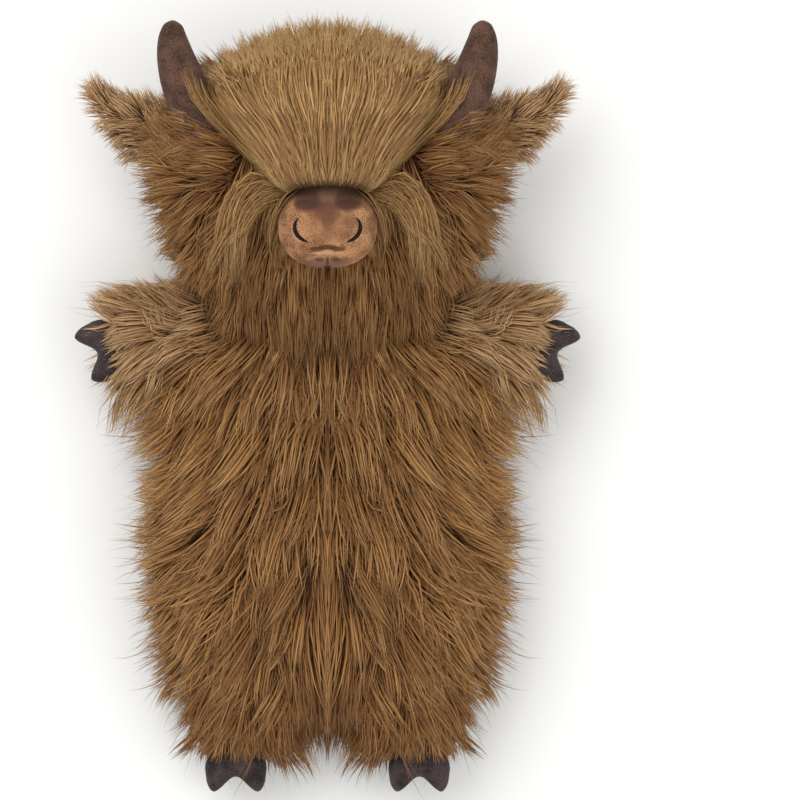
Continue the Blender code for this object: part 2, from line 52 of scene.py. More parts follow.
# ---- sizes, in mm

# Rows of a stuffed form: y, half width, top height, height of its widest line, squareness.
POUCH_ROWS = (
    (-161, 18, 17, 10, 2.3), (-157, 42, 29, 14, 2.4), (-149, 60, 44, 19, 2.5), (-134, 74, 56, 23, 2.5),
    (-108, 83, 62, 25, 2.6), (-70, 86, 66, 26, 2.6), (-20, 85, 66, 26, 2.6), (18, 82, 62, 25, 2.6),
    (42, 77, 53, 23, 2.8), (60, 72, 44, 20, 3.4), (80, 73, 41, 18, 4.0), (104, 76, 41, 18, 4.0),
    (128, 70, 41, 18, 4.0), (148, 56, 38, 17, 3.2), (161, 39, 31, 15, 2.6), (168, 20, 21, 12, 2.4),
)
HEAD_ROWS = (
    (53, 34, 62, 53, 2.4), (59, 52, 74, 53, 2.4), (72, 69, 84, 54, 2.5), (90, 78, 89, 54, 2.5),
    (108, 82, 91, 55, 2.5), (126, 78, 91, 56, 2.5), (142, 67, 87, 56, 2.5), (156, 55, 80, 56, 2.5),
    (167, 41, 71, 55, 2.4), (174, 22, 62, 54, 2.4),
)
FORELOCK_ROWS = (
    (100, 21, 114, 104, 2.2), (103.5, 26, 117, 98, 2.3), (110, 32, 118, 89, 2.4), (124, 40, 116, 80, 2.4),
    (140, 52, 109, 72, 2.4), (154, 57, 99, 65, 2.4), (165, 46, 87, 60, 2.4), (173, 30, 76, 57, 2.4),
    (178, 15, 67, 55, 2.4),
)
# Rows of a limb's right side: x, y, z, half width, half thickness.
ARM_ROWS = (
    (70, 35.5, 34, 24, 19), (78, 34.5, 35, 25.5, 20), (88, 32.5, 35, 25.5, 20), (96, 31, 34, 24, 18),
    (104, 29, 33, 19, 15), (109, 28, 33, 9, 8),
)
SHOULDER_ROWS = (  # the arm's pile starts this far in, under the pouch's
    (50, 42, 45, 19, 14), (56, 40, 42, 20, 15), (63, 37, 38, 22, 18),
)
LEG_ROWS = (
    (41, -136, 30, 27, 20), (41, -145, 30, 27, 20), (42, -157, 29, 26, 19), (43, -167, 28, 23, 17),
    (43, -173, 28, 16, 13), (43, -176, 28, 8, 7),
)
EAR_ROWS = (
    (68, 124, 51, 18, 7), (77, 127.5, 51, 20, 7.5), (88, 133, 52, 18.5, 7.5), (98, 139.5, 53, 15, 6.5),
    (107, 146, 54, 10, 5), (114, 150.5, 55, 4.5, 3),
)
HORN_ROWS = (
    (56, 122, 68, 11.5, 11.5), (61.5, 134, 70, 11.3, 11.2), (66.5, 147, 71, 10.8, 10.4),
    (70.5, 159, 71, 9.9, 9.4), (72.8, 168, 70, 8.4, 8.1), (73.6, 174, 69.5, 7.0, 6.8),
    (73.6, 178, 69, 5.6, 5.4), (73.5, 181, 68.6, 3.8, 3.7), (73.4, 182.4, 68.4, 1.5, 1.5),
)
HEAD_FLOOR = 41.1  # the head's cloth lies on the pouch's, which is 41 high
BACK_GAP = 0.3  # between the back's cloth and the floor

# How far each skin lies inside its solid, which reaches as far as the pile does.
POUCH_INSET, HEAD_INSET, FORELOCK_INSET, LIMB_INSET, EAR_INSET = 9, 9, 7, (8, 8), (7.5, 2.5)
NAPE_INSET = 0  # where the head lies on the pouch
KEPT_SHARE = 0.35  # of a form's size, where the inset would take more
WALL = 4  # cloth and lining of the pouch
SLIT = {"middle": -8, "half_length": 95, "half_width": 8}  # the open seam in the back

MUZZLE = {"centre": (0, 85, 89), "half": (23.5, 20.5, 18.5), "chin_square": 2.35}

# The cleft's root, and the way that the toes point, in degrees from +X.
FRONT_HOOF = {"x": 111.4, "y": 25, "z": 35, "turn": -22}
BACK_HOOF = {"x": 44.5, "y": -180.5, "z": 28, "turn": -90}
HOOF = {"half_width": 15, "half_height": 10, "root": 15, "toe": 7.4, "toe_middle": 0.7}

SIDES = (("right", False), ("left", True))

# ---- curves and surfaces


def up_from(value, start, width):
    """0 up to the start, then straight up to 1 over the width."""
    return np.clip((value - start) / width, 0, 1)


def down_to(value, end, width):
    """1, then over the width straight down to 0 at the end."""
    return np.clip((end - value) / width, 0, 1)


def hump(value, middle, width, power=2):
    """exp(-((value - middle) / width) ^ power): 1 at the middle, and about a third a width away."""
    return np.exp(-(((value - middle) / width) ** power))


def full_turn(count):
    """Equal steps once around, in radians."""
    return np.linspace(0, 2 * pi, count, endpoint=False)


def eased(count):
    """Shares from 0 to 1 that lie closer together at both ends: 0.6 u + 0.2 (1 - cos(pi u))."""
    u = np.linspace(0, 1, count)
    return 0.6 * u + 0.4 * (1 - np.cos(pi * u)) / 2


def smooth(at, values, where):
    """The values, given at the places at, on cubic arcs: a smoothstep between neighbours plus a bend
    that gives each place its mean slope."""
    slopes = np.gradient(values, at)
    i = np.clip(np.searchsorted(at, where) - 1, 0, len(at) - 2)
    step = at[i + 1] - at[i]
    u = np.clip((where - at[i]) / step, 0, 1)
    rise = u**2 * (3 - 2 * u)
    bend = slopes[i] * u * (1 - u) ** 2 - slopes[i + 1] * u**2 * (1 - u)
    return values[i] * (1 - rise) + values[i + 1] * rise + bend * step


def unit(vectors):
    return vectors / np.maximum(np.linalg.norm(vectors, axis=-1, keepdims=True), 1e-9)


def squircle(angle, square):
    """The point at this angle on |x|^q + |z|^q = 1, as its x and z."""
    return [np.sign(part) * np.abs(part) ** (2 / square) for part in (np.cos(angle), np.sin(angle))]


def form_at(rows, y):
    """Half width, top, widest height and squareness of a stuffed form at y."""
    table = np.array(rows, float)
    return [smooth(table[:, 0], table[:, k], y) for k in range(1, 5)]


def stuffed(rows, count, angles, inset, floor, press=0, nape=None):
    """Rings along y: (half cos^(2 / q), widest + rise sin^(2 / q)) of each angle. The half width and the
    top are less by the inset, and from y = 56 to 68 the top's turns to the nape's, where one is given.
    The bottom is pressed flat onto the floor."""
    start, end = rows[0][0], rows[-1][0]
    first, last = start + inset / 2, end - inset / 2
    share = eased(count)
    y = start + (end - start) * share
    half, top, widest, square = (part[:, None] for part in form_at(rows, y))
    half = np.maximum(half - inset, KEPT_SHARE * half)
    widest = np.minimum(widest, top - 2)
    top_inset = inset if nape is None else inset + (nape - inset) * up_from(y, 56, 12)[:, None]
    rise = np.maximum(top - top_inset, widest + KEPT_SHARE * (top - widest)) - widest
    x, z = squircle(angles, square)
    z = widest + np.where(z > 0, rise, widest - floor + press) * z
    place = np.broadcast_to((first + (last - first) * share)[:, None], x.shape)
    rings = np.stack([half * x, place, np.maximum(z, floor)], axis=2)
    return np.concatenate([end_rings(rings[0])[::-1], rings, end_rings(rings[-1])])


def end_rings(ring):
    """The ring drawn in to its middle by each share, so the end is closed by a flat cap."""
    middle = ring.mean(axis=0)
    return np.stack([middle + (ring - middle) * share for share in (0.75, 0.45, 0.15)])


def limb(rows, count, around, insets=(0, 0)):
    """Rings along a bent line: line + side wide cos + up thick sin, an ellipse square to the line. Its
    half width and half thickness are less by the insets, and the tip is drawn back by the second."""
    table = np.array(rows, float)
    at = np.concatenate([[0], np.cumsum(np.linalg.norm(np.diff(table[:, :3], axis=0), axis=1))])
    x, y, z, wide, thick = (smooth(at, table[:, k], at[-1] * eased(count)) for k in range(5))
    line = np.stack([x, y, z], axis=1)
    ahead = unit(np.gradient(line, axis=0))
    side = unit(np.cross(ahead, [0, 0, 1]))
    up = np.cross(side, ahead)
    line = line - ahead * insets[1] * (np.linspace(0, 1, count) ** 3)[:, None]
    wide = np.maximum(wide - insets[0], 0.4 * wide)[:, None, None]
    thick = np.maximum(thick - insets[1], 0.4 * thick)[:, None, None]
    turn = full_turn(around)[None, :, None]
    return line[:, None] + side[:, None] * wide * np.cos(turn) + up[:, None] * thick * np.sin(turn)


def out_of(rings, closed=True):
    """The way out at each point: the line along the rings crossed with the line around them."""
    around = np.roll(rings, -1, axis=1) - np.roll(rings, 1, axis=1) if closed else np.gradient(rings, axis=1)
    return unit(np.cross(np.gradient(rings, axis=0), around))


def lumpy(rings, height, wave, closed=True):
    """Rings raised and sunk along their way out by crossing sines of the place, so stuffing shows."""
    x, y, z = np.moveaxis(rings * (2 * pi / wave), 2, 0)
    lumps = np.sin(x + 1.3 * np.sin(0.6 * y)) * np.cos(0.8 * y + 0.7 * np.sin(0.9 * x)) + 0.4 * np.sin(z)
    return rings + out_of(rings, closed) * (height * lumps)[:, :, None]


def top_height(rows, x, y):
    """Height of a stuffed form's top over x, y: widest + (top - widest) (1 - |x / half|^q)^(1 / q)."""
    half, top, widest, square = form_at(rows, y)
    share = np.clip(1 - np.abs(x / half) ** square, 0, 1) ** (1 / square)
    return widest + (top - widest) * share


# ---- meshes


def add_thing(name, data, location=(0, 0, 0)):
    """An object in the scene."""
    made = bpy.data.objects.new(name, data)
    made.location = location
    scene.collection.objects.link(made)
    return made


def add_mesh(name, points, faces, finish):
    """An object at the origin of these points, in mm, and of faces given as arrays of equal corners."""
    mesh = bpy.data.meshes.new(name)
    corners = np.concatenate([f.ravel() for f in faces]).astype(np.int32)
    sizes = np.concatenate([np.full(len(f), f.shape[1]) for f in faces])
    starts = np.concatenate([[0], np.cumsum(sizes)[:-1]]).astype(np.int32)
    mesh.vertices.add(len(points))
    mesh.vertices.foreach_set("co", (points * MM).astype(np.float32).ravel())
    mesh.loops.add(len(corners))
    mesh.loops.foreach_set("vertex_index", corners)
    mesh.polygons.add(len(sizes))
    mesh.polygons.foreach_set("loop_start", starts)
    mesh.update(calc_edges=True)
    mesh.shade_smooth()
    mesh.materials.append(finish)
    piece = add_thing(name, mesh)
    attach(piece, "root")
    return piece


def grid_faces(count, around):
    """Quads between rings of points that are closed around, numbered ring by ring."""
    i, j = np.meshgrid(np.arange(count - 1), np.arange(around), indexing="ij")
    k = (j + 1) % around
    quads = np.stack([i * around + j, i * around + k, (i + 1) * around + k, (i + 1) * around + j], axis=2)
    return quads.reshape(-1, 4)


def closed_form(name, rings, finish):
    """A closed surface over rings of points, with a pole at each end, its faces turned outward."""
    count, around = rings.shape[:2]
    j = np.arange(around)
    k = (j + 1) % around
    poles = np.stack([rings[0].mean(axis=0), rings[-1].mean(axis=0)])
    low = np.full(around, count * around)
    last = (count - 1) * around
    fans = np.concatenate([np.stack([k, j, low], 1), np.stack([last + j, last + k, low + 1], 1)])
    points = np.concatenate([rings.reshape(-1, 3), poles])
    faces = [grid_faces(count, around), fans]
    if signed_volume(points, faces) < 0:
        faces = [f[:, ::-1] for f in faces]
    return add_mesh(name, points, faces, finish)


def signed_volume(points, faces):
    """Sum over fans of triangles of a . (b x c) / 6: above zero where the faces point outward."""
    corners = [(f[:, 0], f[:, k], f[:, k + 1]) for f in faces for k in range(1, f.shape[1] - 1)]
    return sum((points[a] * np.cross(points[b], points[c])).sum() for a, b, c in corners) / 6


def other_side(points):
    return points * np.array([-1.0, 1.0, 1.0])


# ---- pile


def scatter(rng, rings, count, density, closed=True):
    """Roots spread over the right half of a surface, by area times the density at each cell, and the
    way out at each root. The density takes x, y, z and the way out."""
    out = out_of(rings, closed)
    if closed:
        rings = np.concatenate([rings, rings[:, :1]], axis=1)
        out = np.concatenate([out, out[:, :1]], axis=1)
    a, b, c, d = rings[:-1, :-1], rings[1:, :-1], rings[:-1, 1:], rings[1:, 1:]
    middle = (a + b + c + d) / 4
    area = np.linalg.norm(np.cross(b - a, c - a), axis=2)
    (x, y, z), facing = np.moveaxis(middle, 2, 0), np.moveaxis(out[:-1, :-1] + out[1:, 1:], 2, 0) / 2
    weight = (area * density(x, y, z, facing) * (x > 0)).ravel()
    share = np.cumsum(weight) / weight.sum()
    cell = np.searchsorted(share, (np.arange(count) + rng.random(count)) / count)
    i, j = np.divmod(np.minimum(cell, len(share) - 1), a.shape[1])
    u, v = rng.random((2, count, 1))

    def read(grid):
        low = grid[i, j] * (1 - u) + grid[i + 1, j] * u
        high = grid[i, j + 1] * (1 - u) + grid[i + 1, j + 1] * u
        return low * (1 - v) + high * v

    roots = read(rings)
    roots[:, 0] = np.abs(roots[:, 0])
    return roots, unit(read(out))


def nearest(points, centres):
    """For each point the number of the nearest centre."""
    best = np.zeros(len(points), int)
    for start in range(0, len(points), 2000):
        part = points[start : start + 2000]
        apart = ((part[:, None] - centres[None]) ** 2).sum(axis=2)
        best[start : start + 2000] = apart.argmin(axis=1)
    return best


def across_and_up(place):
    """How far a place lies from the middle line, and its y."""
    return np.abs(place[:, 0]), place[:, 1]


def comb(roots, out, length, lie, lift, fall, curls, steps):
    """Paths of strands. Each step goes at the angle lie + turn + bend u + curl sin(2 pi u + phase), where
    u is the share of the length. It is raised off the skin by the lift, from its first to its second
    angle, and drawn down by fall x u."""
    turn, bend, curl, phase = curls
    place = roots.copy()
    paths = [place]
    for k in range(steps - 1):
        u = (k + 0.5) / (steps - 1)
        angle = lie(*across_and_up(place)) + turn + bend * u + curl * np.sin(2 * pi * u + phase)
        flat = np.stack([np.cos(angle), np.sin(angle), 0 * angle], axis=1)
        inward = np.minimum((flat * out).sum(axis=1, keepdims=True), 0)
        along = unit(flat - out * inward)
        rise = (lift[0] * (1 - u) + lift[1] * u)[:, None]
        way = along * np.cos(rise) + out * np.sin(rise)
        way[:, 2] -= fall * u
        place = place + unit(way) * (length / (steps - 1))[:, None]
        paths.append(place)
    return np.stack(paths, axis=1)


FLOOR_CLEAR = 0.4  # between a strand and the floor
SWAY = 0.14  # how far locks turn aside, in radians
STRAY = {"share": 0.3, "draw": 0.35, "tone": -0.3}  # flyaway hairs, which follow their own line


def by_middle(x):
    """Where a strand crosses the middle line it goes on only a fourth as far."""
    return np.where(x < 0, 0.25 * x, x)


def strands(rng, paths, out, tone, width):
    """A group of strands for add_pile: their widths vary by a fourth."""
    width = width * rng.uniform(0.7, 1.25, len(paths))
    return {"paths": paths, "out": out, "tone": np.clip(tone, 0.1, 0.9), "width": width}


def evenly(*places):
    """The same density, or the same length, all over."""
    return 1.0


def grow(rng, skin, counts, lie, length, lift=(0.38, 0.03), fall=0.3, draw=0.7, tone=0.5, steps=(4, 4),
         widths=(1.2, 0.42), density=evenly, closed=True, length_at=evenly, tone_at=None,
         hair_long=1.0, stray_long=1.3):
    """Pile on a skin: wisps of fibres that lie together, and single hairs between them. Counts gives
    the locks, the wisps and the hairs. A strand takes its turn, bend, length and tone from the nearest
    lock, and is drawn to that lock's line by draw x share of its length ^ 1.5. Length_at gives the
    length's share at x, y, and tone_at what is added to the tone. Hairs are hair_long times as long as
    wisps, and those that stray stray_long times as long again."""
    locks, *numbers = counts
    heads, head_out = scatter(rng, skin, locks, density, closed)
    steady = np.clip(heads[:, 0] / 16, 0.25, 1)  # by the middle line locks hang straight
    turn, bend, curl = (steady * rng.normal(0, spread * SWAY, locks) for spread in (1, 1.4, 0.9))
    phase = rng.uniform(0, 2 * pi, locks)
    size, shade = rng.uniform(0.75, 1.1, locks), rng.normal(0, 0.12, locks)
    rise, pull = rng.normal(0, 0.10, locks), rng.uniform(0.4, 1, locks) * draw
    lifted = (lift[0] + rise, lift[1] + rise)
    lock_length = length * length_at(*across_and_up(heads)) * size
    made = []
    for hair, number, points, width in zip((False, True), numbers, steps, widths):
        lines = comb(heads, head_out, lock_length, lie, lifted, fall, (turn, bend, curl, phase), points)
        roots, out = scatter(rng, skin, number, density, closed)
        lock = nearest(roots, heads)
        stray = rng.random(number) < (STRAY["share"] if hair else 0)

        def own(spread):
            return rng.normal(0, spread, number)

        long = length * length_at(*across_and_up(roots)) * (hair_long if hair else 1) * size[lock]
        long = long * rng.uniform(0.55, 1.08, number) * np.where(stray, stray_long, 1.0)
        own_lift = tuple(part[lock] + own(0.1) for part in lifted)
        curls = (turn[lock] + own(0.06 + 0.1 * hair), bend[lock] + own(0.12 + 0.18 * hair),
                 curl[lock] + own(0.08), phase[lock] + own(0.3))
        paths = comb(roots, out, long, lie, own_lift, fall, curls, points)
        share = np.linspace(0, 1, points)[None, :, None] ** 1.5
        paths += (lines[lock] - paths) * np.where(stray, STRAY["draw"], pull[lock])[:, None, None] * share
        paths[:, :, 0] = by_middle(paths[:, :, 0])
        paths[:, :, 2] = np.maximum(paths[:, :, 2], FLOOR_CLEAR)
        colour = tone + shade[lock] + own(0.13) + (tone_at(*across_and_up(roots)) if tone_at else 0)
        colour = np.where(stray, colour + STRAY["tone"], colour)
        made.append(strands(rng, paths, out, colour, width))
    return made


SECTIONS = {  # share of a strand's width at each of its points but the tip
    3: (0.9, 0.8),
    4: (0.8, 1.0, 0.6),
    5: (0.7, 1.0, 0.9, 0.5),
    7: (0.7, 1.0, 1.0, 0.9, 0.7, 0.4),
}
STRAND_HEIGHT = 0.24  # a strand's height as a share of its width
TONE_WIDTH = 0.045  # how far the tone runs across each mm of a strand's width


def strand_arrays(group, mirrored):
    """Points, faces and UVs of closed three-sided strands that taper to a tip. At each point of a
    path stand three corners: one at each side and one raised between them."""
    paths, out = group["paths"], group["out"]
    if mirrored:
        paths, out = other_side(paths), other_side(out)
    n, steps = paths.shape[:2]
    rings = steps - 1
    ahead = unit(np.gradient(paths, axis=1))[:, :-1]
    side = unit(np.cross(ahead, out[:, None]))
    up = np.cross(side, ahead)
    half = (group["width"][:, None] * np.array(SECTIONS[steps]) / 2)[:, :, None]
    middle = paths[:, :-1]
    raised = middle + up * half * 2 * STRAND_HEIGHT
    corners = np.stack([middle - side * half, raised, middle + side * half], axis=2)
    points = np.concatenate([corners.reshape(n, rings * 3, 3), paths[:, -1:]], axis=1)

    quads, tips = [], []
    for j, k in ((0, 1), (1, 2), (2, 0)):
        quads += [(3 * i + j, 3 * i + k, 3 * i + 3 + k, 3 * i + 3 + j) for i in range(rings - 1)]
        tips.append((3 * rings - 3 + j, 3 * rings - 3 + k, 3 * rings))
    tips.append((2, 1, 0))
    first = (np.arange(n) * (rings * 3 + 1))[:, None, None]
    faces = [(np.array(part)[None] + first).reshape(-1, len(part[0])) for part in (quads, tips)]

    across = TONE_WIDTH * half * np.array([-1, 0, 1])[None, None, :]
    u = group["tone"][:, None, None] + across
    v = np.broadcast_to((np.arange(rings) / rings)[None, :, None], u.shape)
    u = np.concatenate([u.reshape(n, -1), group["tone"][:, None]], axis=1).ravel()
    v = np.concatenate([v.reshape(n, -1), np.ones((n, 1))], axis=1).ravel()
    uvs = [np.stack([u[part.ravel()], v[part.ravel()]], axis=1) for part in faces]
    uvs[1][np.arange(n) * 12 + 10, 1] = 0.03  # the root's cap keeps an area in the map
    return points.reshape(-1, 3), faces, uvs


def add_pile(name, finish, groups, mirrored=False):
    """One mesh of these groups of strands. Its UV map has the tone in u and the share of the length
    in v. A second map, OFBake, is the same."""
    parts = [strand_arrays(group, mirrored) for group in groups]
    firsts = np.cumsum([0] + [len(points) for points, _, _ in parts])
    faces = [np.concatenate([part[1][k] + first for part, first in zip(parts, firsts)]) for k in (0, 1)]
    piece = add_mesh(name, np.concatenate([points for points, _, _ in parts]), faces, finish)
    uv = np.concatenate([part[2][k] for k in (0, 1) for part in parts]).astype(np.float32).ravel()
    for layer in ("pile", "OFBake"):
        piece.data.uv_layers.new(name=layer).data.foreach_set("uv", uv)
    return piece


# ---- materials


def linear(code):
    """The linear colour of an sRGB hex code."""
    parts = [int(code[k : k + 2], 16) / 255 for k in (1, 3, 5)]
    return tuple(p / 12.92 if p <= 0.04045 else ((p + 0.055) / 1.055) ** 2.4 for p in parts) + (1,)


def add(tree, kind, settings=None, links=None):
    """A node with these values of its own or of its sockets, joined to other nodes' outputs by links."""
    made = tree.nodes.new("ShaderNode" + kind)
    for key, value in (settings or {}).items():
        if isinstance(key, str) and hasattr(made, key):
            setattr(made, key, value)
        else:
            made.inputs[key].default_value = value
    for key, source in (links or {}).items():
        tree.links.new(source, made.inputs[key])
    return made


def noise(tree, place, scale, detail=2.0):
    """Cloudy shares from 0 to 1."""
    return add(tree, "TexNoise", {"Scale": scale, "Detail": detail}, {"Vector": place}).outputs["Fac"]


def ramp(tree, stops, factor):
    """A colour ramp through (place, hex code) stops."""
    made = add(tree, "ValToRGB", {}, {"Fac": factor})
    while len(made.color_ramp.elements) < len(stops):
        made.color_ramp.elements.new(0.5)
    for element, (place, code) in zip(made.color_ramp.elements, stops):
        element.position, element.color = place, linear(code)
    return made.outputs["Color"]


def surface(name, values):
    """A material whose Principled shader has these values, as (material, tree, shader)."""
    made = bpy.data.materials.new(name)
    made.use_nodes = True
    shader = made.node_tree.nodes["Principled BSDF"]
    for socket, value in values.items():
        shader.inputs[socket].default_value = value
    return made, made.node_tree, shader


def cover(tree, shader, colour, height=None, strength=0, depth=0):
    """Joins the colour to the shader, and a bump of the height, which is depth mm deep."""
    tree.links.new(colour, shader.inputs["Base Color"])
    if height:
        bump = add(tree, "Bump", {"Strength": strength, "Distance": depth * MM}, {"Height": height})
        tree.links.new(bump.outputs["Normal"], shader.inputs["Normal"])


def long_pile(name, dark, light):
    """Polyester faux-fur fibre: silky but matt, darker at its root. Dark and light are the ramps from
    root to tip, and each strand's tone lies between them. Across a wisp the tone jumps every 0.3 mm,
    which stands for its single fibres of about 0.05 mm."""
    made, tree, shader = surface(name, {"Roughness": 0.65, "Specular IOR Level": 0.22})
    place = add(tree, "UVMap", {"uv_map": "pile"}).outputs["UV"]
    parts = add(tree, "SeparateXYZ", {}, {"Vector": place})
    fibres = add(tree, "Mapping", {"Scale": (FIBRES, 1.3, 1)}, {"Vector": place}).outputs["Vector"]
    streaks = noise(tree, fibres, 1.0)
    shift = add(tree, "Math", {"operation": "SUBTRACT", 1: 0.85}, {0: parts.outputs["X"]}).outputs[0]
    tone = add(tree, "Math", {"operation": "MULTIPLY_ADD", 1: 1.7}, {0: streaks, 2: shift}).outputs[0]
    low = ramp(tree, dark, parts.outputs["Y"])
    high = ramp(tree, light, parts.outputs["Y"])
    cover(tree, shader, add(tree, "Mix", {"data_type": "RGBA"}, {0: tone, 6: low, 7: high}).outputs[2])
    return made


def backing():
    """Knitted backing with the pile's roots: dark brown, streaked by the roots that lie over it."""
    made, tree, shader = surface("pile_backing_cloth", {"Roughness": 0.9})
    place = add(tree, "TexCoord").outputs["Object"]
    drawn = add(tree, "Mapping", {"Scale": (420, 110, 300)}, {"Vector": place}).outputs["Vector"]
    streaks = noise(tree, drawn, 1.0, 4.0)
    colour = ramp(tree, ((0.3, "#2a1c12"), (0.55, "#4a3422"), (0.75, "#6a4d33")), streaks)
    cover(tree, shader, colour, streaks, 0.8, 0.8)
    return made


def velour(name, low, high, patches=()):
    """Short brushed velour: a dense nap under 1 mm, drawn as fine mottling with a soft sheen at the
    edges. Each patch is a soft-edged ellipse of colour: centre and half sizes in mm, its colour and
    strength. Most stand for the cloth's airbrushing; on the muzzle some are painted shade in the mouth's
    trough and cleft, and one is a painted highlight on the lip. One that is off the middle line is there
    on both sides."""
    values = {"Roughness": 0.85, "Specular IOR Level": 0.2, "Sheen Weight": 0.06, "Sheen Roughness": 0.4}
    made, tree, shader = surface(name, values)
    place = add(tree, "TexCoord").outputs["Object"]
    fine = noise(tree, place, 1700.0)
    broad = noise(tree, place, 130.0)
    share = add(tree, "Math", {"operation": "MULTIPLY", 1: 0.4}, {0: broad}).outputs[0]
    mottle = add(tree, "Math", {"operation": "MULTIPLY_ADD", 1: 0.6}, {0: fine, 2: share}).outputs[0]
    colour = ramp(tree, ((0.41, low), (0.59, high)), mottle)
    both = [((side * x, y, z), *rest) for (x, y, z), *rest in patches for side in ((1, -1) if x else (1,))]
    for centre, half, code, strength in both:
        scale = tuple(1 / (h * MM) for h in half)
        moved = tuple(-c / h for c, h in zip(centre, half))
        local = add(tree, "Mapping", {"Location": moved, "Scale": scale}, {"Vector": place})
        sphere = add(tree, "TexGradient", {"gradient_type": "SPHERICAL"}, {"Vector": local.outputs[0]})
        speckled = add(tree, "Math", {"operation": "MULTIPLY_ADD", 1: 0.7, 2: -0.35}, {0: fine}).outputs[0]
        total = add(tree, "Math", {"operation": "ADD"}, {0: sphere.outputs["Fac"], 1: speckled}).outputs[0]
        edge = {"interpolation_type": "SMOOTHSTEP", "From Min": 0.08, "From Max": 0.42, "To Max": strength}
        mask = add(tree, "MapRange", edge, {"Value": total}).outputs[0]
        colour = add(tree, "Mix", {"data_type": "RGBA", 7: linear(code)}, {0: mask, 6: colour}).outputs[2]
    cover(tree, shader, colour, mottle, 0.55, 0.4)
    return made


def embroidery():
    """Rayon embroidery thread: near black with a faint gloss, satin stitches 0.4 mm wide."""
    made, tree, shader = surface("black_embroidery_thread", {"Roughness": 0.55, "Specular IOR Level": 0.15})
    place = add(tree, "TexCoord").outputs["Object"]
    wave = add(tree, "TexWave", {"Scale": 400.0, "Distortion": 1.0}, {"Vector": place}).outputs["Fac"]
    colour = ramp(tree, ((0.2, "#0b0807"), (0.8, "#1d1613")), wave)
    cover(tree, shader, colour, wave, 0.5, 0.3)
    return made


FIBRES = 70  # streaks over the whole range of tones
BROWN_PILE = long_pile(  # body, head and legs: brown at the root, straw at the tip
    "brown_faux_fur",
    ((0, "#432717"), (0.35, "#6e4627"), (1, "#885b34")),
    ((0, "#704a28"), (0.45, "#b9864c"), (1, "#dcb176")),
)
GOLDEN_PILE = long_pile(  # forelock and cheek locks: golden all along
    "golden_faux_fur",
    ((0, "#755535"), (0.35, "#86623c"), (1, "#9a7345")),
    ((0, "#a87f4d"), (0.45, "#c49960"), (1, "#e2bf88")),
)
SANDY_PILE = long_pile(  # arms and ears: paler and greyer than the body
    "sandy_faux_fur",
    ((0, "#4a3120"), (0.35, "#795637"), (1, "#946b46")),
    ((0, "#7c5738"), (0.45, "#bd9264"), (1, "#e2bf90")),
)
BACKING = backing()
HORN_VELOUR = velour("horn_velour", "#39271f", "#664a3c")
HOOF_VELOUR = velour("hoof_velour", "#231c1d", "#4b3f40")
MUZZLE_PATCHES_AND_PAINTED_LIGHT = (
    ((0, 98, 100), (21, 11, 26), "#6b4a3d", 0.8),  # bridge
    ((9.2, 95.3, 103), (8.4, 7.4, 16), "#573b30", 0.75),  # above each nostril
    ((9.6, 93.4, 103), (8.4, 3.2, 16), "#371f17", 0.45),
    ((0, 99.5, 104), (6, 6.5, 14), "#86624c", 0.7),  # between them
    ((0, 83.5, 106), (15, 9.5, 14), "#875a3e", 0.5),  # between the nostrils
    ((0, 89.5, 106), (8, 7, 14), "#5b3a29", 0.6),
    ((0, 86, 106), (4, 7, 14), "#5b3a29", 0.4),
    ((0, 73.5, 103), (5.6, 1.6, 16), "#4f2d17", 0.85),  # mouth: painted shade in its trough, here and at its ends
    ((5.0, 72.7, 103), (4.4, 1.4, 16), "#4f2d17", 0.8),
    ((0, 70.6, 101), (9.5, 1.2, 12), "#c29a76", 0.5),  # lips: first a painted highlight on the ridge between the mouth's trough and the crease
    ((0, 66.0, 96), (12.5, 4.2, 12), "#7f5a4a", 0.8),
    ((3.9, 68.0, 98), (3.2, 1.3, 9), "#4a2a1f", 0.7),
    # painted shade in the cleft down the lower lip
    ((0, 67.2, 98), (0.9, 2.6, 9), "#432619", 0.7),
    ((0, 64.4, 92), (2.6, 1.7, 6), "#1d110d", 0.95),
)
MUZZLE_VELOUR = velour("muzzle_velour", "#754c32", "#c49368", MUZZLE_PATCHES_AND_PAINTED_LIGHT)
THREAD = embroidery()

# ---- skins

rng = np.random.default_rng(SEED)
FULL_TURN = full_turn(64)


def pouch_skin():
    """The walls joined into one closed strip, swept along y: outer wall, lip, inner wall, lip. Under
    the widest line |x| is moved to lip + |x| (half - lip) / half, which opens the seam in the back."""
    angles = np.linspace(-0.5 * pi, 1.5 * pi, 81)
    outer = stuffed(POUCH_ROWS, 60, angles, POUCH_INSET, BACK_GAP, 7, NAPE_INSET)
    inner = stuffed(POUCH_ROWS, 60, angles, POUCH_INSET + WALL, BACK_GAP + WALL, 4, NAPE_INSET + WALL)
    for wall in (outer, inner):
        across = np.clip((wall[:, :1, 1] - SLIT["middle"]) / SLIT["half_length"], -1, 1)
        lip = SLIT["half_width"] * (1 - across**4) + 0.15
        under = np.abs(angles - 0.5 * pi) > 0.5 * pi
        half = np.abs(wall[:, :, 0]).max(axis=1, keepdims=True)
        side = np.where(angles < 0.5 * pi, 1, -1)
        near = np.where(under, np.abs(wall[:, :, 0]), half)
        moved = lip + near * (half - lip) / half
        wall[:, :, 0] = np.where(under, side * moved, wall[:, :, 0])
    return outer, np.concatenate([outer, inner[:, ::-1]], axis=1)


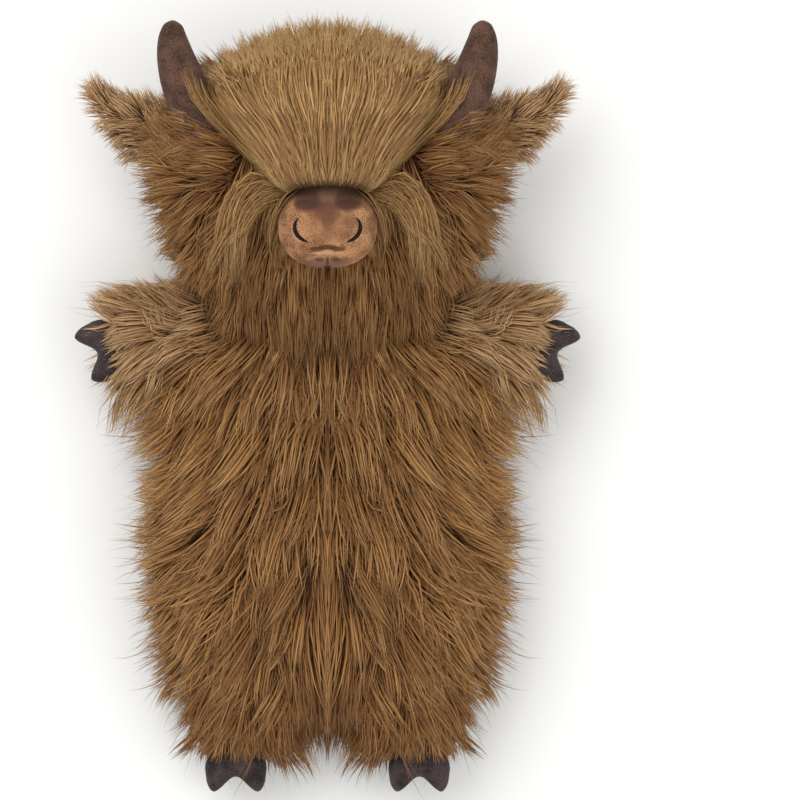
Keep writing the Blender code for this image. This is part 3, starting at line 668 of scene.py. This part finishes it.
POUCH_OUTER, POUCH_STRIP = pouch_skin()
POUCH_SKIN = lumpy(POUCH_OUTER, 0.8, 34, closed=False)
POUCH_SKIN[:, :, 2] = np.maximum(POUCH_SKIN[:, :, 2], BACK_GAP)
HEAD_SKIN = lumpy(stuffed(HEAD_ROWS, 48, FULL_TURN, HEAD_INSET, HEAD_FLOOR, 4), 1.0, 38)
HEAD_SKIN[:, :, 2] = np.maximum(HEAD_SKIN[:, :, 2], HEAD_FLOOR)
FORELOCK_SKIN = stuffed(FORELOCK_ROWS, 36, FULL_TURN, FORELOCK_INSET, 62)
ARM_SKIN = limb(ARM_ROWS, 26, 40, LIMB_INSET)
ARM_AND_SHOULDER = limb(SHOULDER_ROWS + ARM_ROWS, 34, 40, LIMB_INSET)
LEG_SKIN = limb(LEG_ROWS, 26, 40, LIMB_INSET)
EAR_SKIN = limb(EAR_ROWS, 30, 36, EAR_INSET)

# ---- lies of the pile
# Angles in the plane of the face, from +X towards +Y, for the right side.


def turned_down(y, degrees):
    """The angle at y, between the rows' degrees."""
    return np.radians(np.interp(-y, [-row[0] for row in degrees], [row[1] for row in degrees]))


BODY_SPREAD = (
    (60, 24), (45, 32), (25, 38), (10, 43), (-8, 47), (-22, 52), (-42, 58), (-70, 58), (-100, 50), (-125, 39),
    (-150, 26), (-175, 12),
)  # y, and degrees outward from straight down at the side


def waves(x, y):
    """A slow swirl of the lie, so neighbouring locks cross."""
    return 0.07 * np.sin(x / 11 + y / 17) + 0.08 * np.sin(x / 23 - y / 13 + 1)


def body_lie(x, y):
    """Down, drawn in to the middle line by it, outward to the sides by the spread at that height, out
    more past the sides, and along the arm by its root."""
    out = turned_down(y, BODY_SPREAD) * np.clip(x / 86, 0, 1.05) ** 0.75 - 0.24 * hump(x, 0, 8)
    out = out + 0.3 * up_from(x, 80, 14) * up_from(y, -130, 40)
    lie = -0.5 * pi + out + waves(x, y) * up_from(x, 0, 20)
    by_arm = up_from(x, 40, 20) * hump(y, 38, 22, 4)
    return lie * (1 - by_arm) + arm_lie(x, y) * by_arm


ARM_TURN = ((66, 20), (52, 7), (40, -3), (30, -14), (22, -32), (14, -46), (4, -52), (-4, -58))


def arm_lie(x, y):
    """Turned by the height across the arm, and up from its upper edge by the body."""
    return turned_down(y, ARM_TURN) + 0.36 * up_from(y, 42, 10) * down_to(x, 104, 16)


HEAD_PARTING = (44, 109)
BROW_CORNER, BROW_END = np.array([27.0, 106.0]), np.array([66.0, 137.0])


def over_brow(x, y):
    """How far above the line from the brow's corner to the horn a point lies, in mm."""
    along = (BROW_END - BROW_CORNER) / np.linalg.norm(BROW_END - BROW_CORNER)
    return (y - BROW_CORNER[1]) * along[0] - (x - BROW_CORNER[0]) * along[1]


def head_lie(x, y):
    """Away from the parting at the brow's corner on the side of the head, down beside the muzzle, and
    up and out at the back of the head."""
    away = np.arctan2(y - HEAD_PARTING[1], np.maximum(x - HEAD_PARTING[0], 1))
    down = -0.5 * pi + 0.12 * x / HEAD_PARTING[0]
    share = up_from(x, 34, 18)
    front = down * (1 - share) + np.clip(away, -1.45, 0.7) * share + 0.6 * waves(x, y)
    back = up_from(y, 144, 10)
    return front * (1 - back) + crown_lie(x, y) * back


def ruff_lie(x, y):
    """Outward over the horn's root, turned down towards the ear's lower side."""
    return 0.16 - 0.02 * (x - 50) + waves(x, y)


FORELOCK_NARROWING = (
    (98.5, 0.27), (100, 0.31), (102, 0.355), (105, 0.40), (112, 0.47), (128, 0.64), (145, 0.92), (156.5, 1.0),
    (185, 1.03),
)  # y, and the half width there as a share of the widest


def combed_down(x, y):
    """How far a line x from the middle at the crown lies from it at y."""
    ys, shares = np.array(FORELOCK_NARROWING).T
    return x * smooth(ys, shares, np.clip(y, 98.5, 185))


def crown_lie(x, y):
    """Up over the crown, fanned out to both sides."""
    return 0.5 * pi - 0.75 * x / 60


EAR_ROOT, EAR_WAY = np.array([70.0, 124.5]), radians(28)


def ear_lie(x, y):
    """Along the ear, and away from its middle line at its edges, further below than above."""
    off = (y - EAR_ROOT[1]) * cos(EAR_WAY) - (x - EAR_ROOT[0]) * sin(EAR_WAY)
    share = np.clip(off / 12, -1, 1)
    return EAR_WAY + np.where(share > 0, 0.6 * share, 0.85 * share)


def leg_lie(x, y):
    """Down, fanned out to both sides of the leg."""
    return -0.5 * pi + 0.42 * np.clip((x - 42) / 24, -1, 1)


# ---- growing the pile


def body_part(x, y, z, facing):
    """The pouch up to where the head lies on it, but not its flat back."""
    return (facing[2] > -0.55) & (z > 4) & (y < 66)


def nape_part(x, y, z, facing):
    """The pouch's edge behind the head."""
    return (facing[2] > -0.55) & (z > 4) & (y >= 74) & (np.hypot(facing[0], facing[1]) > 0.5)


def body_length(x, y):
    """Full length on the chest and belly, shorter at the sides, and shortest at the crotch."""
    side = 1 - 0.54 * up_from(x, 34, 42) + 0.25 * (x > 60) * hump(y, 4, 14)
    foot = 1 - 0.35 * down_to(y, -125, 20)
    crotch = 1 - 0.44 * down_to(y, -114, 20) * down_to(x, 26, 12)
    shoulder = 1 + 0.5 * up_from(x, 40, 20) * hump(y, 38, 22, 4)
    return side * foot * crotch * shoulder


def body_tone_and_shade(x, y):
    """Slow patches of straw and brown, lighter at the sides, darker down the middle of the chest and darker
    at the foot. Painted shade darkens it more under the chin, in each armpit and between the legs."""
    patches = 0.06 * np.sin(y / 17 + x / 29) + 0.05 * np.cos(x / 13 - y / 31)
    middle = (0.29 * up_from(y, -50, 50) - 0.06) * hump(x, 0, 22)
    # painted shade under the chin, where the head's pile hangs over the chest
    chin = 0.04 * hump(y, 32, 15) * hump(x, 0, 15)
    # painted shade in the armpit, under the arm
    armpit = 0.22 * hump(y, 4, 9) * hump(x, 66, 12)
    # darker all across the foot, and more in the middle: painted shade between the legs
    foot = (0.28 + 0.2 * hump(x, 0, 14)) * down_to(y, -80, 40)
    return 0.02 + patches - middle - chin - armpit - foot + 0.14 * up_from(x, 30, 40)


def nape_lie(x, y):
    """Away from the middle of the head."""
    return np.arctan2(y - 100, x)


def beside_hoof(x, y):
    """One over the front hoof, where the arm's pile stops short, and zero elsewhere."""
    return (np.abs(y - 31) < 12) * up_from(x, 80, 10)


def arm_part(x, y, z, facing):
    """From under the pouch's pile, and not under the hoof's middle."""
    return (x > 52) * (1 - beside_hoof(x, y) * (x > 98))


def arm_length(x, y):
    """Longer below the arm, shorter above it and over the hoof."""
    below = 0.4 * down_to(y, 26, 10) * down_to(x, 104, 8)
    above = 0.28 * up_from(y, 44, 8) * down_to(x, 100, 10)
    return (1 + below - above) * (1 - 0.24 * beside_hoof(x, y))


def leg_length(x, y):
    """Short enough over the hoof to leave its toes bare, and longer beside it."""
    over = down_to(np.abs(x - 43), 17, 3)
    beside = 1 + 0.3 * down_to(x, 30, 6)
    return beside - over * (1 - np.clip((y + 173) / 24, 0.15, 1))


def head_part(x, y, z, facing):
    """All the head but where the forelock lies on it."""
    return (facing[2] > -0.75) & ((over_brow(x, y) < 5) | (z < 60))


def head_length(x, y):
    """Longer under the chin, where the pile hangs over the chest, shorter at the side and the back."""
    chin = 0.75 * down_to(y, 74, 14) * down_to(x, 58, 20)
    return 1 + chin - 0.24 * up_from(x, 56, 12) - 0.5 * up_from(y, 150, 10)


def ruff_part(x, y, z, facing):
    """A band along the brow by the horn's root."""
    return (facing[2] > 0) & (x > 40) & (np.abs(over_brow(x, y) + 3) < 8)


def head_painted_shade(x, y):
    """Painted shade: dark in the parting at the brow's corner, under the forelock's edge, and in the
    hollow between muzzle and cheek lock.
    """
    hollow = 0.3 * hump(x, 33, 6) * hump(y, 76, 14)
    parting = 0.3 * hump(over_brow(x, y), -3, 6) * hump(x, 44, 26)
    return -hollow - parting


def crown_part(x, y, z, facing):
    """More and more of the forelock's short pile towards the crown, and sooner at its sides."""
    return (facing[2] > -0.5) * up_from(y + 0.15 * x, 150, 24)


HORN_ROOT = 122  # y


def horn_height(x, y):
    """Height of the horn's top over x, y, or zero beside it: up + sqrt(radius^2 - off^2)."""
    columns = np.array(HORN_ROWS, float).T
    across, up, radius = (np.interp(y, columns[1], columns[k]) for k in (0, 2, 3))
    inside = radius**2 - (np.abs(x) - across) ** 2
    return np.where((inside > 0) & (y > HORN_ROOT), up + np.sqrt(np.maximum(inside, 0)), 0)


def dome_height(x, y):
    """Height of what the forelock's pile lies on: the cloth under it, and beside that the head's, the
    horn, and the valley between the crown and the horn, which the pile bridges."""
    rows = np.array(FORELOCK_ROWS, float).T
    forelock_top = top_height(FORELOCK_ROWS, x, np.clip(y, 98, 179)) - FORELOCK_INSET
    inside = (np.abs(x) < np.interp(y, rows[0], rows[1])) | (y > HORN_ROOT)
    bridge = 73 - 0.05 * (y - 146) ** 2
    head_top = top_height(HEAD_ROWS, x, np.clip(y, 54, 173)) - HEAD_INSET
    return np.maximum.reduce([np.where(inside, forelock_top, head_top), horn_height(x, y) - 1, bridge])


FORELOCK_LIP = 101.3  # y of the strands' ends over the middle of the muzzle
HORN_SIDE = 61  # strands that start further out than this hang from beside the horn


def comb_forelock(rng, locks, count, width, widest, steps):
    """Strands that hang over the dome along lines that close in on the muzzle, out to the widest line:
    x = (start + drawn share^1.6 + wander share) x the narrowing at y. Each starts at its own height,
    ends by the lip, and rides over the dome by its height x (sin(pi share) - 0.1)."""
    heads = rng.uniform(0, 74, locks), rng.uniform(108, 176, locks)
    sideways = rng.normal(0, 2.6, locks)
    start_x = np.abs(rng.uniform(-4, widest, count))
    outer = start_x > HORN_SIDE
    start_x = np.where(outer, HORN_SIDE + 9 * (np.abs(start_x - HORN_SIDE) / 12) ** 1.7, start_x)
    top = np.where(outer, 165, 179 - 0.0052 * start_x**2)
    start_y = 112 + (top - 112) * rng.uniform(0, 1, count) ** np.where(outer, 2.0, 0.6)
    lock = nearest(np.stack([start_x, start_y], 1), np.stack(heads, 1))
    lip = FORELOCK_LIP - 2.5 * up_from(start_x, 0, 60) ** 2
    end_y = np.maximum(start_y - rng.uniform(34, 60, count), lip + rng.uniform(0, 3.5, count))
    share = np.linspace(0, 1, steps)[None, :]
    y = start_y[:, None] + (end_y - start_y)[:, None] * (1 - (1 - share) ** 1.35)
    drawn = (heads[0][lock] + sideways[lock] - start_x) * 0.35 + rng.normal(0, 2.8, count)
    across = start_x[:, None]
    wander = 1.7 * np.sin(y / 9 + across / 6) + 1.6 * np.sin(y / 15 - across / 11)
    bow = 4.5 * up_from(across, 46, 14) * hump(y, 129, 12)  # by the horn
    x = by_middle(combed_down(across + drawn[:, None] * share**1.6 + wander * share, y) + bow)
    height = rng.uniform(1.0, 7.5, (count, 1)) + rng.exponential(0.5, (count, 1))
    ride = height * (np.sin(pi * np.clip(share * 0.9 + 0.04, 0, 1)) - 0.1)
    paths = np.stack([x, y, dome_height(x, y) + ride], axis=2)
    tone = 0.20 + 0.25 * up_from(start_y, 150, 22) + 0.48 * outer + 0.04 * hump(start_x, 53, 5)
    tone = tone + rng.normal(0, 0.10, locks)[lock] + rng.normal(0, 0.13, count)
    out = np.broadcast_to(np.array([0, 0, 1.0]), (count, 3))
    return strands(rng, paths, out, tone, width * np.where(outer, 0.5, 1.0))


body = grow(rng, POUCH_SKIN, (260, 3600, 3100), body_lie, 48, tone=0.52, steps=(5, 5), widths=(1.15, 0.42),
            density=body_part, closed=False, length_at=body_length, tone_at=body_tone_and_shade, stray_long=1.6)
nape = grow(rng, POUCH_SKIN, (70, 640, 450), nape_lie, 17, lift=(0.85, 0.4), steps=(4, 3), widths=(1.9, 0.5),
            density=nape_part, closed=False)
arm = grow(rng, ARM_AND_SHOULDER, (85, 1150, 1150), arm_lie, 27, fall=0.2, tone=0.72, density=arm_part,
           length_at=arm_length, stray_long=1.05)
leg = grow(rng, LEG_SKIN, (75, 850, 750), leg_lie, 27, draw=0.5, tone=0.27, length_at=leg_length,
           stray_long=1.05)
head = grow(rng, HEAD_SKIN, (190, 2600, 2050), head_lie, 29, fall=0.2, tone=0.35, widths=(1.05, 0.42),
            density=head_part, length_at=head_length, tone_at=head_painted_shade, stray_long=1.45)
ruff = grow(rng, HEAD_SKIN, (24, 250, 300), ruff_lie, 27, lift=(0.5, 0.1), fall=0.2, tone=0.42,
            widths=(0.9, 0.42), density=ruff_part)
ear = grow(rng, EAR_SKIN, (60, 560, 1300), ear_lie, 12, lift=(0.32, 0.1), fall=0.1, draw=0.45, tone=0.82,
           steps=(4, 3), widths=(1.0, 0.42), hair_long=1.2, stray_long=1.0)
crown = grow(rng, FORELOCK_SKIN, (110, 500, 1600), crown_lie, 10, lift=(0.2, 0.08), fall=0.1, draw=0.45,
             tone=0.84, steps=(4, 3), widths=(1.0, 0.38), density=crown_part, hair_long=1.55)
forelock = [comb_forelock(rng, 150, 2100, 1.15, 64, 5), comb_forelock(rng, 150, 2800, 0.42, 73, 4)]

PILES = (  # piece, finish, slot, strands
    ("body_pile", BROWN_PILE, "fur", body + nape),
    ("arm_pile", SANDY_PILE, "fur", arm),
    ("leg_pile", BROWN_PILE, "fur", leg),
    ("head_pile", BROWN_PILE, "fur", head + ruff),
    ("ear_pile", SANDY_PILE, "fur", ear),
    ("forelock_pile", GOLDEN_PILE, "golden_fur", forelock + crown),
)
for side, mirrored in SIDES:
    for name, finish, slot, groups in PILES:
        piece = add_pile(f"{name}_{side}", finish, groups, mirrored)
        if name == "body_pile":
            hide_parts("pile_rim_" + side)

# ---- cloth pieces


def add_padded(name, rings, finish, stands_for, mirrored=False):
    """A closed piece in place of these nodes, which are hidden."""
    piece = closed_form(name, other_side(rings) if mirrored else rings, finish)
    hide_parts(*stands_for)


def hoof_outline():
    """The hoof from above, ahead and across: two round toes that rise by a sine from the cleft and fall
    by a circle's edge, and a round back."""
    across = np.linspace(-1, 1, 41)
    inner = np.clip(np.abs(across) / HOOF["toe_middle"], 0, 1)
    outer = np.clip((np.abs(across) - HOOF["toe_middle"]) / (1 - HOOF["toe_middle"]), 0, 1)
    rise = 0.75 * np.sin(inner * pi / 2) ** 1.9 + 0.25 * inner**1.7
    toes = HOOF["toe"] * (rise - 1.5 * (1 - np.sqrt(1 - outer**2)))
    turn = np.linspace(0, pi, 19)[1:-1]
    ahead = np.concatenate([toes, -HOOF["root"] * (0.3 + 0.7 * np.sin(turn))])
    return np.stack([ahead, np.concatenate([across, np.cos(turn)]) * HOOF["half_width"]], axis=1)


def hoof_form(hoof):
    """The outline at each tilt from the underside to the top, drawn in to its middle by cos^0.6 and
    raised by sin, then turned to point its way."""
    middle, turn = np.array([-5, 0]), radians(hoof["turn"])
    way = np.array([[cos(turn), sin(turn)], [-sin(turn), cos(turn)]])
    tilt = np.radians(np.linspace(-84, 84, 25))[:, None, None]
    flat = (middle + (hoof_outline() - middle) * np.cos(tilt) ** 0.6) @ way + [hoof["x"], hoof["y"]]
    height = np.broadcast_to(hoof["z"] + HOOF["half_height"] * np.sin(tilt), flat[:, :, :1].shape)
    return np.concatenate([flat, height], axis=2)


add_padded("pouch_cloth", POUCH_STRIP, BACKING, ("pouch", "tuft"))
add_padded("head_cloth", HEAD_SKIN, BACKING, ("head",))
add_padded("forelock_cloth", FORELOCK_SKIN, BACKING, ("forelock",))
HORN_FORM = limb(HORN_ROWS, 40, 40)
for side, mirrored in SIDES:
    for name, rings, fill in (("arm", ARM_SKIN, 0.7), ("leg", LEG_SKIN, 0.7), ("ear", EAR_SKIN, 0.2)):
        stands_for = (f"{name}_{side}",)
        add_padded(f"{name}_cloth_{side}", rings, BACKING, stands_for, mirrored)
    stands_for = ("horn_" + side,)
    add_padded(f"horn_{side}_velour", HORN_FORM, HORN_VELOUR, stands_for, mirrored)
for side, mirrored in SIDES:
    for name, hoof in (("front_hoof_" + side, FRONT_HOOF), ("back_hoof_" + side, BACK_HOOF)):
        add_padded(name + "_velour", hoof_form(hoof), HOOF_VELOUR, (name,), mirrored)


def mouth_depth(x, y):
    """How far the mouth is drawn in at x, y in mm, a sum of humps: a soft trough above the upper lip,
    bowed down to its ends, the crease between the lips, and a cleft on the middle line."""
    trough = 1.8 * np.clip(1 - (x / 11) ** 2, 0, 1) * hump(y + 0.012 * x**2, 72.8, 1.2)
    crease = 1.3 * np.clip(1 - (x / 9) ** 2, 0, 1) * hump(y, 69.0, 0.8)
    return trough + crease + 0.9 * hump(x, 0, 0.8) * hump(y, 67, 2.2)


def muzzle_half(y):
    """The muzzle's half width at y, from |x / a|^q + |y / b|^q = 1, with a larger q below its centre."""
    a, b, _ = MUZZLE["half"]
    square = 2 + (MUZZLE["chin_square"] - 2) * np.clip(3 * down_to(y, MUZZLE["centre"][1], b), 0, 1)
    share = np.clip(np.abs(y - MUZZLE["centre"][1]) / b, 0, 1)
    return a * (1 - share**square) ** (1 / square)


def muzzle_rise(y):
    """The height of the muzzle's front over its centre at y."""
    return muzzle_half(y) * MUZZLE["half"][2] / MUZZLE["half"][0]


def muzzle_height(x, y):
    """Height of the muzzle's front at x, y: centre + rise sqrt(1 - (x / half)^2), less the mouth."""
    share = np.clip(1 - (x / np.maximum(muzzle_half(y), 0.1)) ** 2, 0, 1)
    return MUZZLE["centre"][2] + muzzle_rise(y) * np.sqrt(share) - mouth_depth(x, y)


def muzzle_form():
    """Rings along y, each an ellipse as wide and as high as the outline there, with the same mouth."""
    _, cy, cz = MUZZLE["centre"]
    tilt = np.linspace(0.05, pi - 0.05, 84)[:, None]
    turn = full_turn(96)[None, :]
    y = cy - MUZZLE["half"][1] * np.cos(tilt) + 0 * turn
    x, z = muzzle_half(y) * np.cos(turn), muzzle_rise(y) * np.sin(turn)
    return np.stack([x, y, cz + z - mouth_depth(x, y) * (z > 0)], axis=2)


add_padded("muzzle_velour_dome", muzzle_form(), MUZZLE_VELOUR, ("muzzle",))

NOSTRIL = ((13.2, 87.4), (14.5, 86.0), (15.2, 84.2), (15.2, 81.6), (13.9, 79.0), (11.7, 77.1), (9.3, 75.9))


def nostril():
    """A raised crescent of satin stitch that follows the muzzle: line + side wide cos(turn), raised by
    half of wide sin(turn), where wide swells and tapers by a sine."""
    line = np.array(NOSTRIL, float)
    at, u = np.linspace(0, 1, len(line)), np.linspace(0, 1, 40)
    x, y = smooth(at, line[:, 0], u), smooth(at, line[:, 1], u)
    path = np.stack([x, y, muzzle_height(x, y)], axis=1)
    side = unit(np.cross(unit(np.gradient(path, axis=0)), [0, 0, 1]))
    wide = (np.sin(pi * np.clip(u**1.3 * 0.93 + 0.03, 0, 1)) ** 0.7)[:, None, None]
    turn = full_turn(12)[None, :, None]
    rings = path[:, None] + side[:, None] * wide * np.cos(turn)
    rings[:, :, 2] = muzzle_height(rings[:, :, 0], rings[:, :, 1]) + (0.5 * wide * np.sin(turn))[:, :, 0]
    return rings


for side, mirrored in SIDES:
    rings = other_side(nostril()) if mirrored else nostril()
    closed_form("nostril_stitches_" + side, rings, THREAD)

# ---- cheek locks

CHEEK_LINES = (  # share of the strands, tone, then x, y and height over the head
    (1.0, 0.50, ((22, 99.5, 9), (30, 98.5, 8), (38, 91, 6), (41.5, 79, 5), (42, 62, 4), (41.5, 46, 4))),
    (0.9, 0.50, ((22, 101.5, 9), (33, 104.5, 8), (41, 97, 6), (44.5, 84, 5), (46, 66, 4), (46, 46, 4))),
    (0.5, 0.62, ((23, 99, 9), (33, 94, 8), (40.5, 83, 7), (50, 75.5, 6), (63, 68, 5))),
    (0.5, 0.34, ((24, 103, 9), (37, 104.5, 7), (45, 96, 6), (49.5, 82, 5), (52, 65, 4), (53, 50, 4))),
    (0.6, 0.40, ((41, 92, 6), (48, 80, 6), (54, 69, 5), (58, 58, 4), (60, 48, 3))),
    (0.5, 0.12, ((15, 102, 8), (20, 98.5, 7), (24.5, 92, 5), (27, 82, 4), (28, 70, 4))),
)


def bundle(rng, line, count, spread, width, tone):
    """Strands along a given line over the head: line + offset (1 - 0.4 share) + bow sin(pi share
    x its own turns). Each has its own offset and bow, and its own stretch of the line."""
    line = np.array(line, float)
    head_top = top_height(HEAD_ROWS, line[:, 0], np.clip(line[:, 1], 54, 173))
    pouch_top = top_height(POUCH_ROWS, line[:, 0], np.clip(line[:, 1], -160, 60))
    line[:, 2] += np.maximum(head_top, pouch_top)
    at = np.linspace(0, 1, len(line))
    start, stop = rng.uniform(0, 0.2, count), rng.uniform(0.7, 1, count)
    share = np.linspace(0, 1, 7)
    u = start[:, None] + (stop - start)[:, None] * share
    paths = np.stack([smooth(at, line[:, k], u) for k in range(3)], axis=2)
    offset, share = rng.normal(0, 1, (count, 1, 3)) * np.array(spread), share[None, :, None]
    bow = rng.normal(0, 1.5, (count, 1, 3)) * np.sin(pi * share * rng.uniform(0.5, 1.5, (count, 1, 1)))
    out = unit(np.broadcast_to(np.array([0.3, 0, 1.0]), (count, 3)))
    return strands(rng, paths + offset * (1 - 0.4 * share) + bow, out, rng.normal(tone, 0.2, count), width)


cheek = [
    bundle(rng, line, round(count * share), spread, width, tone)
    for count, spread, width in ((15, (1.3, 1.3, 1.2), 0.9), (75, (2.1, 2.1, 1.6), 0.42))
    for share, tone, line in CHEEK_LINES
]
for side, mirrored in SIDES:
    piece = add_pile("cheek_locks_" + side, GOLDEN_PILE, cheek, mirrored)
    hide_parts("cheek_lock_" + side)

# ---- stage, light and camera


def add_stage():
    """A plain pale floor under the cover."""
    matt = {"Base Color": linear("#f7f7f5"), "Roughness": 0.9, "Specular IOR Level": 0.0}
    half, low = 3.0, -0.00005
    mesh = bpy.data.meshes.new("floor")
    corners = [(-half, -half, low), (half, -half, low), (half, half, low), (-half, half, low)]
    mesh.from_pydata(corners, [], [(0, 1, 2, 3)])
    mesh.materials.append(surface("pale_paper_floor", matt)[0])
    add_thing("floor", mesh)


def add_light(name, place, size, power):
    """A square soft box that faces the middle of the cover."""
    lamp = bpy.data.lights.new(name, "AREA")
    lamp.size, lamp.energy = size, power
    box = add_thing(name, lamp, place)
    box.rotation_mode = "QUATERNION"
    box.rotation_quaternion = (-Vector(place)).to_track_quat("-Z", "Y")


def add_camera():
    """Straight above the cover. The photo's frame is 384 mm tall in the plane of the pile."""
    lens = bpy.data.cameras.new("camera")
    lens.lens, lens.sensor_width = 182.8, 36
    lens.shift_x = 0.0856  # the photo shows the cover left of its middle
    scene.camera = add_thing("camera", lens, (0, 0.0022, 2.0))


def add_world():
    """White light from all sides, which keeps the shadows soft."""
    world = bpy.data.worlds.new("studio")
    world.use_nodes = True
    light = world.node_tree.nodes["Background"]
    light.inputs["Color"].default_value = linear("#ffffff")
    light.inputs["Strength"].default_value = 0.75
    scene.world = world


add_stage()
add_light("soft_box_key", (-0.7, 0.8, 1.5), 1.4, 16)
add_light("soft_box_fill", (0.9, -0.6, 1.4), 1.6, 7)
add_world()
scene.view_settings.view_transform = "Standard"
add_camera()
